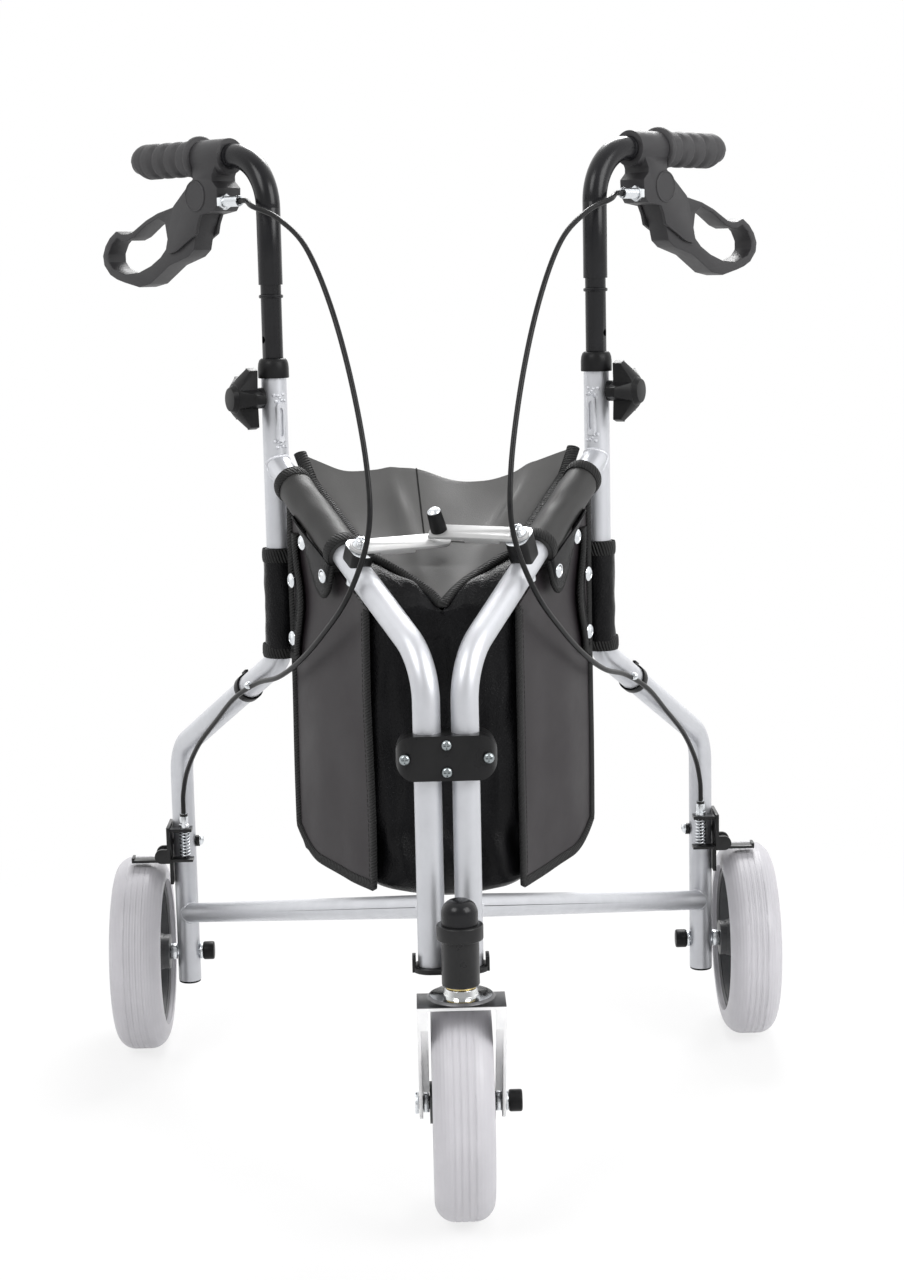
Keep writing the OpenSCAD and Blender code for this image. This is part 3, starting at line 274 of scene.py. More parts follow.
def dressed(node, finish, bevel=0.0, segments=2, smooth=40, paint=None):
    """Puts a copy with softened edges in a CAD node's place.

    paint is a second finish and a function that tells which faces have it.
    """
    source = frame["nodes"][node]
    bm = bmesh.new()
    bm.from_mesh(source.data)
    bmesh.ops.remove_doubles(bm, verts=bm.verts, dist=MERGE)
    bmesh.ops.dissolve_limit(bm, angle_limit=FLAT_ANGLE, verts=bm.verts, edges=bm.edges)
    piece = new_piece(node + ".dressed", bm, finish, smooth, outward=False)
    if bevel:
        edge = piece.modifiers.new("Edges", "BEVEL")
        edge.width = bevel
        edge.segments = segments
        edge.limit_method = "ANGLE"
        edge.angle_limit = BEVEL_ANGLE
        edge.use_clamp_overlap = True
        with_modifiers(piece)
        smoothed(piece.data, smooth)
    if paint:
        second, part_of = paint
        piece.data.materials.append(second)
        for face in piece.data.polygons:
            face.material_index = part_of(face.center)
    in_place_of(piece, node)


def bridged(bm, low, high):
    """Faces between two closed rings of corners."""
    n = len(low)
    return [bm.faces.new((low[k], low[(k + 1) % n], high[(k + 1) % n], high[k])) for k in range(n)]


def swept(name, points, finish, section, closed=False, up=(0, 0, 1), smooth=50):
    """Solid with a closed section carried along points; its UV map runs round and along in metres."""
    points = [Vector(p) for p in points]
    count = len(points)
    bm = bmesh.new()
    side = Vector(up)
    rings, along, length = [], [], 0.0
    for i, p in enumerate(points):
        a = points[i - 1] if (i or closed) else p
        b = points[(i + 1) % count] if (i < count - 1 or closed) else p
        ahead = (b - a).normalized()
        side = (side - ahead * side.dot(ahead)).normalized()
        other = ahead.cross(side)
        if i:
            length += (p - points[i - 1]).length
        along.append(length)
        rings.append([bm.verts.new(p + other * x + side * y) for x, y in section])
    uv = bm.loops.layers.uv.new("Surface")
    n = len(section)
    pairs = list(zip(range(count - 1), range(1, count)))
    if closed:
        pairs.append((count - 1, 0))
    for i, j in pairs:
        far = along[j] if j else length + 0.002
        for k, face in enumerate(bridged(bm, rings[i], rings[j])):
            for loop, where in zip(face.loops, ((k, along[i]), (k + 1, along[i]), (k + 1, far), (k, far))):
                loop[uv].uv = (where[0] / n, where[1])
    if not closed:
        bm.faces.new(rings[0])
        bm.faces.new(rings[-1])
    return new_piece(name, bm, finish, smooth)


def turned(name, profile, place, finish, steps=48, smooth=35):
    """Solid turned about the Z axis of a place; its profile of (radius, height) is open or a closed ring."""
    bm = bmesh.new()
    rings = []
    for r, z in profile:
        points = around(steps, r) if r else [(0, 0)]
        rings.append([bm.verts.new(place @ Vector((x, y, z))) for x, y in points])
    for low, high in zip(rings, rings[1:]):
        for k in range(steps):
            m = (k + 1) % steps
            corners = (low[k % len(low)], low[m % len(low)], high[m % len(high)], high[k % len(high)])
            corners = list(dict.fromkeys(corners))
            if len(corners) > 2:
                bm.faces.new(corners)
    if profile[0] == profile[-1]:
        bmesh.ops.remove_doubles(bm, verts=rings[0] + rings[-1], dist=MERGE / 4)
    else:
        for ring in (rings[0], rings[-1]):
            if len(ring) > 2:
                bm.faces.new(ring)
    return new_piece(name, bm, finish, smooth)


def lofted(name, rings, finish, smooth=60, caps=True):
    """Closed skin over rings of points."""
    bm = bmesh.new()
    rows = [[bm.verts.new(p) for p in ring] for ring in rings]
    n = len(rows[0])
    uv = bm.loops.layers.uv.new("Surface")
    for i in range(len(rows) - 1):
        for k, face in enumerate(bridged(bm, rows[i], rows[i + 1])):
            for loop, at in zip(face.loops, ((k, i), (k + 1, i), (k + 1, i + 1), (k, i + 1))):
                loop[uv].uv = (at[0] / n, at[1] / (len(rows) - 1))
    if caps:
        bm.faces.new(rows[0])
        bm.faces.new(rows[-1])
    return new_piece(name, bm, finish, smooth)


def sheet_of(name, surface, across, along, thick, finish, smooth=60):
    """Sheet of cloth over a surface of (u, v), with its thickness below."""
    bm = bmesh.new()
    uv = bm.loops.layers.uv.new("Surface")
    rows = [[bm.verts.new(surface(i / across, j / along)) for i in range(across + 1)]
            for j in range(along + 1)]
    for j in range(along):
        for i in range(across):
            face = bm.faces.new((rows[j][i], rows[j][i + 1], rows[j + 1][i + 1], rows[j + 1][i]))
            for loop, at in zip(face.loops, ((i, j), (i + 1, j), (i + 1, j + 1), (i, j + 1))):
                loop[uv].uv = (at[0] / across, at[1] / along)
    piece = new_piece(name, bm, finish, smooth, outward=False)
    wall = piece.modifiers.new("Thickness", "SOLIDIFY")
    wall.thickness = thick
    wall.offset = -1
    with_modifiers(piece)
    smoothed(piece.data, smooth)
    return piece


def spline(points, steps):
    """Smooth curve through points."""
    points = [Vector(p) for p in points]
    out = []
    for i in range(len(points) - 1):
        a, b = points[max(i - 1, 0)], points[i]
        c, d = points[i + 1], points[min(i + 2, len(points) - 1)]
        for k in range(steps):
            t = k / steps
            out.append(0.5 * (2 * b + (c - a) * t + (2 * a - 5 * b + 4 * c - d) * t * t
                              + (3 * b - a - 3 * c + d) * t * t * t))
    out.append(points[-1])
    return out


def spaced(points, gap):
    """Points at an even distance along a line."""
    points = [Vector(p) for p in points]
    total = sum((b - a).length for a, b in zip(points, points[1:]))
    count = max(2, round(total / gap))
    step, out, done, i = total / count, [points[0].copy()], 0.0, 0
    here = points[0]
    for k in range(1, count):
        goal = step * k
        while done + (points[i + 1] - here).length < goal - 1e-12:
            done += (points[i + 1] - here).length
            i += 1
            here = points[i]
        here = here + (points[i + 1] - here).normalized() * (goal - done)
        done = goal
        out.append(here.copy())
    out.append(points[-1].copy())
    return out


def joined(name, pieces):
    """Several loose meshes made one piece."""
    bm = bmesh.new()
    finishes = []
    for piece in pieces:
        start = len(bm.faces)
        mesh = piece.data
        bm.from_mesh(mesh)
        bm.faces.ensure_lookup_table()
        for face in bm.faces[start:]:
            finish = mesh.materials[face.material_index]
            if finish not in finishes:
                finishes.append(finish)
            face.material_index = finishes.index(finish)
    mesh = bpy.data.meshes.new(name)
    bm.to_mesh(mesh)
    bm.free()
    for finish in finishes:
        mesh.materials.append(finish)
    for piece in pieces:
        bpy.data.objects.remove(piece)
    whole = bpy.data.objects.new(name, mesh)
    bpy.context.scene.collection.objects.link(whole)
    return whole


# Repeated small work, with Geometry Nodes

def repeat_tree():
    """Node tree that sets a small shape on each point of a mesh, turned by the points' own attributes."""
    tree = bpy.data.node_groups.get("Small work")
    if tree:
        return tree
    tree = bpy.data.node_groups.new("Small work", "GeometryNodeTree")
    face = tree.interface
    face.new_socket("Geometry", in_out="INPUT", socket_type="NodeSocketGeometry")
    face.new_socket("Shape", in_out="INPUT", socket_type="NodeSocketObject")
    size = face.new_socket("Size", in_out="INPUT", socket_type="NodeSocketFloat")
    size.default_value = 1
    face.new_socket("Finish", in_out="INPUT", socket_type="NodeSocketMaterial")
    face.new_socket("Geometry", in_out="OUTPUT", socket_type="NodeSocketGeometry")
    add, link = tree.nodes.new, tree.links.new
    start, end = add("NodeGroupInput"), add("NodeGroupOutput")
    turn = add("GeometryNodeInputNamedAttribute")
    turn.data_type = "FLOAT_VECTOR"
    turn.inputs["Name"].default_value = "turn"
    angles = add("FunctionNodeEulerToRotation")
    shape = add("GeometryNodeObjectInfo")
    place = add("GeometryNodeInstanceOnPoints")
    solid = add("GeometryNodeRealizeInstances")
    paint = add("GeometryNodeSetMaterial")
    link(start.outputs["Shape"], shape.inputs["Object"])
    link(start.outputs["Geometry"], place.inputs["Points"])
    link(shape.outputs["Geometry"], place.inputs["Instance"])
    link(turn.outputs["Attribute"], angles.inputs["Euler"])
    link(angles.outputs["Rotation"], place.inputs["Rotation"])
    link(start.outputs["Size"], place.inputs["Scale"])
    link(place.outputs["Instances"], solid.inputs["Geometry"])
    link(solid.outputs["Geometry"], paint.inputs["Geometry"])
    link(start.outputs["Finish"], paint.inputs["Material"])
    link(paint.outputs["Geometry"], end.inputs["Geometry"])
    return tree


def repeated(name, places, shape, finish, size=1.0, smooth=40):
    """One mesh with a small shape at each place (a matrix), through the Small work tree."""
    mesh = bpy.data.meshes.new(name)
    mesh.from_pydata([m.translation[:] for m in places], [], [])
    turn = mesh.attributes.new("turn", "FLOAT_VECTOR", "POINT")
    for i, m in enumerate(places):
        turn.data[i].vector = m.to_3x3().normalized().to_euler()
    piece = bpy.data.objects.new(name, mesh)
    bpy.context.scene.collection.objects.link(piece)
    tree = repeat_tree()
    work = piece.modifiers.new("Small work", "NODES")
    work.node_group = tree
    ids = {s.name: s.identifier for s in tree.interface.items_tree if s.in_out == "INPUT"}
    work[ids["Shape"]] = shape
    work[ids["Size"]] = size
    work[ids["Finish"]] = finish
    with_modifiers(piece)
    piece.data.materials.clear()
    piece.data.materials.append(finish)
    smoothed(piece.data, smooth)
    return piece


def facing(point, ahead, up=(0, 0, 1)):
    """Place at a point with Z along a direction and X as near as can be to another."""
    z = Vector(ahead).normalized()
    x = Vector(up) - z * Vector(up).dot(z)
    if x.length < 1e-6:
        x = z.orthogonal()
    x.normalize()
    y = z.cross(x)
    return Matrix.Translation(Vector(point)) @ Matrix((x, y, z)).transposed().to_4x4()


PATTERNS = []


def pattern(name, build):
    """Hidden small shape for the Small work tree; removed once the pieces are made."""
    shape = build(name)
    shape.hide_render = True
    shape.hide_viewport = True
    PATTERNS.append(shape)
    return shape


def drop_patterns():
    """Removes the small shapes that were repeated."""
    for shape in PATTERNS:
        bpy.data.objects.remove(shape)
    PATTERNS.clear()


def rivet_shape(name):
    """Domed snap or rivet head of 1 m across, standing on Z = 0."""
    profile = [(0.5, 0), (0.5, 0.06), (0.44, 0.12), (0.36, 0.13), (0.33, 0.10), (0.27, 0.10),
               (0.2, 0.14), (0, 0.16)]
    return turned(name, profile, Matrix(), finish_of("zinc"), steps=20)


def bead_shape(name):
    """Flat drop of weld metal, 1 m wide."""
    profile = [(0.5, -0.2), (0.5, 0), (0.43, 0.16), (0.25, 0.28), (0, 0.32)]
    return turned(name, profile, Matrix(), finish_of("weld"), steps=10, smooth=80)


def stitch_shape(name):
    """One stitch of thread along X, 1 m long."""
    points = [(-0.42, 0, -0.05), (-0.3, 0, 0.07), (0, 0, 0.1), (0.3, 0, 0.07), (0.42, 0, -0.05)]
    return swept(name, points, finish_of("thread"), around(6, 0.12, 0.1), up=(0, 1, 0))


def phillips_shape(name):
    """Pan head with a cross recess, 1 m across, standing on Z = 0."""
    profile = [(0.5, 0), (0.5, 0.1), (0.44, 0.22), (0.3, 0.31), (0.14, 0.34), (0, 0.345)]
    head = turned(name, profile, Matrix(), finish_of("zinc"), steps=24)
    bm = bmesh.new()
    arm, half, deep, top = 0.3, 0.055, 0.1, 0.6
    for long, short in ((arm, half), (half, arm)):
        block = bmesh.ops.create_cube(bm, size=1)["verts"]
        bmesh.ops.scale(bm, vec=(2 * long, 2 * short, top - deep), verts=block)
        bmesh.ops.translate(bm, vec=(0, 0, (top + deep) / 2), verts=block)
    cutter = new_piece(name + ".cross", bm, finish_of("zinc"))
    cut = head.modifiers.new("Cross", "BOOLEAN")
    cut.object = cutter
    cut.operation = "DIFFERENCE"
    cut.solver = "EXACT"
    cut.use_self = True
    with_modifiers(head)
    bpy.data.objects.remove(cutter)
    return head


def screw_heads(name, places, finish, size):
    """Screw heads with cross recesses, all of one size."""
    return repeated(name, places, pattern(name + "_form", phillips_shape), finish_of(finish), size)


# Shader groups

def math_node(tree, kind, a, b=None, clamp=False):
    """Math node between sockets or numbers."""
    node = tree.nodes.new("ShaderNodeMath")
    node.operation = kind
    node.use_clamp = clamp
    for socket, value in zip(node.inputs, (a, b)):
        if value is None:
            continue
        if isinstance(value, (int, float)):
            socket.default_value = value
        else:
            tree.links.new(value, socket)
    return node.outputs[0]


def map_range(tree, value, old=(0, 1), new=(0, 1), kind="LINEAR"):
    """Socket's values taken from one range to another."""
    node = tree.nodes.new("ShaderNodeMapRange")
    node.interpolation_type = kind
    for label, number in zip(("From Min", "From Max", "To Min", "To Max"), (*old, *new)):
        node.inputs[label].default_value = number
    tree.links.new(value, node.inputs["Value"])
    return node.outputs["Result"]


def bare_tree(owner):
    """Empty node tree of a material or the world."""
    owner.use_nodes = True
    owner.node_tree.nodes.clear()
    return owner.node_tree


def build_mottle(tree, start, end):
    """Cloudy change of colour, with a mask for roughness."""
    spots = tree.nodes.new("ShaderNodeTexNoise")
    spots.inputs["Detail"].default_value = 5
    spots.inputs["Roughness"].default_value = 0.6
    tree.links.new(start.outputs["Vector"], spots.inputs["Vector"])
    tree.links.new(start.outputs["Scale"], spots.inputs["Scale"])
    mask = map_range(tree, spots.outputs["Fac"], old=(0.32, 0.68))
    mix = tree.nodes.new("ShaderNodeMix")
    mix.data_type = "RGBA"
    tree.links.new(mask, mix.inputs["Factor"])
    tree.links.new(start.outputs["Colour"], mix.inputs[6])
    tree.links.new(start.outputs["Second colour"], mix.inputs[7])
    tree.links.new(mix.outputs[2], end.inputs["Colour"])
    tree.links.new(mask, end.inputs["Mask"])


def build_grain(tree, start, end):
    """Pebbled grain, as leatherette or moulded plastic has."""
    cells = tree.nodes.new("ShaderNodeTexVoronoi")
    cells.feature = "SMOOTH_F1"
    tree.links.new(start.outputs["Vector"], cells.inputs["Vector"])
    tree.links.new(start.outputs["Scale"], cells.inputs["Scale"])
    fine = tree.nodes.new("ShaderNodeTexNoise")
    fine.inputs["Detail"].default_value = 3
    tree.links.new(start.outputs["Vector"], fine.inputs["Vector"])
    tree.links.new(math_node(tree, "MULTIPLY", start.outputs["Scale"], 2.3), fine.inputs["Scale"])
    mixed = math_node(tree, "ADD", cells.outputs["Distance"],
                      math_node(tree, "MULTIPLY", fine.outputs["Fac"], start.outputs["Fine"]))
    tree.links.new(mixed, end.inputs["Height"])


def build_weave(tree, start, end):
    """Slanting ribs of a woven tape."""
    split = tree.nodes.new("ShaderNodeSeparateXYZ")
    tree.links.new(start.outputs["Vector"], split.inputs[0])
    slant = math_node(tree, "ADD", math_node(tree, "MULTIPLY", split.outputs["X"], start.outputs["Round"]),
                      math_node(tree, "MULTIPLY", split.outputs["Y"], start.outputs["Along"]))
    rib = math_node(tree, "SINE", math_node(tree, "MULTIPLY", slant, 2 * math.pi))
    tree.links.new(math_node(tree, "MULTIPLY_ADD", rib, 0.5), end.inputs["Height"])


GROUPS = {
    "Mottle": ([("Vector", "NodeSocketVector"), ("Scale", "NodeSocketFloat"), ("Colour", "NodeSocketColor"),
                ("Second colour", "NodeSocketColor")],
               [("Colour", "NodeSocketColor"), ("Mask", "NodeSocketFloat")], build_mottle),
    "Grain": ([("Vector", "NodeSocketVector"), ("Scale", "NodeSocketFloat"), ("Fine", "NodeSocketFloat")],
              [("Height", "NodeSocketFloat")], build_grain),
    "Weave": ([("Vector", "NodeSocketVector"), ("Round", "NodeSocketFloat"), ("Along", "NodeSocketFloat")],
              [("Height", "NodeSocketFloat")], build_weave),
}


def add_group(tree, name, **values):
    """Node of a shared shader group, which is built once, with its input values set."""
    group = bpy.data.node_groups.get(name)
    if not group:
        inputs, outputs, build = GROUPS[name]
        group = bpy.data.node_groups.new(name, "ShaderNodeTree")
        for label, kind in inputs:
            group.interface.new_socket(label, in_out="INPUT", socket_type=kind)
        for label, kind in outputs:
            group.interface.new_socket(label, in_out="OUTPUT", socket_type=kind)
        build(group, group.nodes.new("NodeGroupInput"), group.nodes.new("NodeGroupOutput"))
    node = tree.nodes.new("ShaderNodeGroup")
    node.node_tree = group
    for label, value in values.items():
        node.inputs[label.replace("_", " ")].default_value = value
    return node


def finish_base(name, colour, second, scale, rough, metallic=0.0, bump=(0.0, 0.0005), coat=0.0, **sockets):
    """Material with mottled colour, a roughness that follows it and a bump.

    Returns the material, its tree, its texture coordinates and its bump node.
    """
    material = bpy.data.materials.new(name)
    tree = bare_tree(material)
    out = tree.nodes.new("ShaderNodeOutputMaterial")
    shader = tree.nodes.new("ShaderNodeBsdfPrincipled")
    tree.links.new(shader.outputs[0], out.inputs[0])
    where = tree.nodes.new("ShaderNodeTexCoord")
    mottle = add_group(tree, "Mottle", Scale=scale, Colour=(*colour, 1), Second_colour=(*second, 1))
    tree.links.new(where.outputs["Object"], mottle.inputs["Vector"])
    tree.links.new(mottle.outputs["Colour"], shader.inputs["Base Color"])
    tree.links.new(map_range(tree, mottle.outputs["Mask"], new=rough), shader.inputs["Roughness"])
    shader.inputs["Metallic"].default_value = metallic
    shader.inputs["Coat Weight"].default_value = coat
    for label, value in sockets.items():
        shader.inputs[label.replace("_", " ")].default_value = value
    relief = tree.nodes.new("ShaderNodeBump")
    relief.inputs["Strength"].default_value = bump[0]
    relief.inputs["Distance"].default_value = bump[1]
    tree.links.new(relief.outputs["Normal"], shader.inputs["Normal"])
    return material, tree, where, relief


def shade(colour, factor):
    """Lighter or darker colour."""
    return tuple(min(1.0, c * factor) for c in colour)


def grained(name, colour, second, scale, rough, grain, fine=0.4, **more):
    """Finish with a pebbled grain."""
    material, tree, where, relief = finish_base(name, colour, second, scale, rough, **more)
    node = add_group(tree, "Grain", Scale=grain, Fine=fine)
    tree.links.new(where.outputs["Object"], node.inputs["Vector"])
    tree.links.new(node.outputs["Height"], relief.inputs["Height"])
    return material


def woven(name, colour, second, scale, rough, ribs, **more):
    """Finish of a woven tape or cable, on the piece's own UV map; ribs counts them round and along."""
    material, tree, where, relief = finish_base(name, colour, second, scale, rough, **more)
    node = add_group(tree, "Weave", Round=ribs[0], Along=ribs[1])
    tree.links.new(where.outputs["UV"], node.inputs["Vector"])
    tree.links.new(node.outputs["Height"], relief.inputs["Height"])
    return material


def lined(name, colour, second, scale, rough, pitch, **more):
    """Finish with fine moulded lines side by side along X, as on a tread."""
    material, tree, where, relief = finish_base(name, colour, second, scale, rough, **more)
    split = tree.nodes.new("ShaderNodeSeparateXYZ")
    tree.links.new(where.outputs["Object"], split.inputs[0])
    line = math_node(tree, "SINE", math_node(tree, "MULTIPLY", split.outputs["X"], 2 * math.pi / pitch))
    tree.links.new(line, relief.inputs["Height"])
    return material


# Each finish: its material's name, its colour or that of a colour property and a factor, the mottling's
# second colour or factor, the mottling's scale, the roughness, the grain's scale, and the other sockets.
LOOKS = {
    "silver": dict(name="Frame silver", colour=("silver", 1), second=0.94, scale=40, rough=(0.38, 0.46),
                   grain=2600, bump=(0.12, 0.0002), metallic=0.7, coat=0.12, Coat_Roughness=0.3),
    "weld": dict(name="Painted weld", colour=("silver", 1.06), second=0.9, scale=300, rough=(0.3, 0.42),
                 grain=1500, bump=(0.25, 0.0003), metallic=0.5, coat=0.2),
    "gloss_black": dict(name="Handle black", colour=("gloss_black", 1), second=1.5, scale=30,
                        rough=(0.2, 0.28), grain=1800, bump=(0.04, 0.0002), Specular_IOR_Level=0.25),
    "plastic": dict(name="Moulded grey", colour=("plastic", 1), second=1.18, scale=60, rough=(0.44, 0.54),
                    grain=2200, bump=(0.16, 0.0002), Specular_IOR_Level=0.4),
    "black_plastic": dict(name="Moulded black", colour=(0.008, 0.008, 0.0085), second=(0.012, 0.012, 0.0125),
                          scale=60, rough=(0.33, 0.43), grain=2000, bump=(0.12, 0.0002),
                          Specular_IOR_Level=0.15),
    "block": dict(name="Hinge block", colour=(0.007, 0.007, 0.0075), second=(0.010, 0.010, 0.0105),
                  scale=60, rough=(0.26, 0.34), grain=2000, bump=(0.08, 0.0002), Specular_IOR_Level=0.22),
    "black_paint": dict(name="Black paint", colour=(0.009, 0.009, 0.0095), second=(0.014, 0.014, 0.0145),
                        scale=80, rough=(0.26, 0.38), grain=1600, bump=(0.1, 0.0002), Specular_IOR_Level=0.3),
    "rubber": dict(name="Grip rubber", colour=("rubber", 1), second=1.25, scale=80, rough=(0.56, 0.66),
                   grain=1500, fine=0.7, bump=(0.35, 0.0004), Specular_IOR_Level=0.45),
    "hub": dict(name="Wheel plastic", colour=(0.045, 0.046, 0.05), second=(0.06, 0.061, 0.064), scale=50,
                rough=(0.38, 0.48), grain=2000, bump=(0.12, 0.0002)),
    "tyre": dict(make=lined, name="Tyre grey", colour=("tyre", 1), second=0.9, scale=14, rough=(0.38, 0.5),
                 pitch=0.00275, bump=(0.18, 0.0003)),
    "zinc": dict(name="Zinc plate", colour=(0.80, 0.82, 0.84), second=(0.70, 0.73, 0.76), scale=180,
                 rough=(0.2, 0.32), grain=2500, bump=(0.06, 0.0002), metallic=1.0),
    "screw": dict(name="Screw plate", colour=(0.36, 0.39, 0.40), second=(0.28, 0.31, 0.32), scale=180,
                  rough=(0.22, 0.34), grain=2500, bump=(0.06, 0.0002), metallic=1.0),
    "fork": dict(name="Fork plate", colour=(0.90, 0.90, 0.90), second=(0.84, 0.84, 0.85), scale=90,
                 rough=(0.3, 0.4), grain=2500, bump=(0.05, 0.0002), metallic=0.25),
    # Dark metal on the caster's dish and crown top: a painted reflection of dark surroundings on polished
    # steel.
    "dark_plate": dict(name="Dark plate", colour=(0.11, 0.11, 0.115), second=(0.15, 0.15, 0.155), scale=120,
                       rough=(0.28, 0.4), grain=2500, bump=(0.06, 0.0002), metallic=0.8),
    "chrome": dict(name="Bright plate", colour=(0.74, 0.75, 0.75), second=(0.68, 0.69, 0.69), scale=60,
                   rough=(0.1, 0.16), grain=2500, bump=(0.03, 0.0002), metallic=1.0),
    "bar": dict(name="Link bar plate", colour=(0.43, 0.43, 0.43), second=(0.40, 0.40, 0.40), scale=70,
                rough=(0.40, 0.46), grain=2600, bump=(0.02, 0.0001), metallic=0.2),
    "gold": dict(name="Yellow plate", colour=(0.72, 0.55, 0.22), second=(0.62, 0.50, 0.24), scale=120,
                 rough=(0.2, 0.3), grain=2500, bump=(0.05, 0.0002), metallic=1.0),
    "cable": dict(make=woven, name="Cable sheath", colour=(0.008, 0.008, 0.009), second=(0.014, 0.014, 0.014),
                  scale=160, rough=(0.3, 0.38), ribs=(0, 900), bump=(0.04, 0.0002), Specular_IOR_Level=0.2),
    "vinyl": dict(name="Bag leatherette", colour=("vinyl", 1), second=1.6, scale=25, rough=(0.2, 0.3),
                  grain=900, bump=(0.8, 0.0006), Specular_IOR_Level=0.12),
    "panel": dict(name="Bag side panel", colour=("panel", 1), second=1.15, scale=18, rough=(0.40, 0.50),
                  grain=1500, bump=(0.2, 0.0004), Specular_IOR_Level=0.32),
    # Bag flap: the cloth's own grey, made lighter by a painted sheen of the light falling on the top.
    "flap": dict(name="Bag flap", colour=("flap", 1), second=1.2, scale=20, rough=(0.31, 0.41), grain=1300,
                 bump=(0.2, 0.0004), Specular_IOR_Level=0.6),
    # Bag sleeve: the same cloth at its darker tone, without the flap's painted sheen.
    "sleeve": dict(name="Bag sleeve", colour=("flap", 0.42), second=1.2, scale=20, rough=(0.46, 0.56),
                   grain=1300, bump=(0.2, 0.0004), Specular_IOR_Level=0.35),
    "tape": dict(make=woven, name="Binding tape", colour=(0.006, 0.006, 0.006), second=(0.011, 0.011, 0.011),
                 scale=160, rough=(0.6, 0.7), ribs=(4, 380), bump=(0.9, 0.0010), Specular_IOR_Level=0.3),
    "thread": dict(make=woven, name="Thread", colour=(0.02, 0.02, 0.02), second=(0.03, 0.03, 0.03),
                   scale=160, rough=(0.6, 0.7), ribs=(1, 2), bump=(0.1, 0.0002)),
}
FINISHES = {}


def finish_of(name):
    """Material of a finish, made once."""
    if name not in FINISHES:
        look = dict(LOOKS[name])
        make, colour, second = look.pop("make", grained), look.pop("colour"), look.pop("second")
        if isinstance(colour[0], str):
            chosen = getattr(bpy.context.scene.rollator_finish, colour[0])
            colour = shade(tuple(chosen), colour[1])
        if not isinstance(second, tuple):
            second = shade(colour, second)
        FINISHES[name] = make(colour=colour, second=second, **look)
    return FINISHES[name]


# Operators

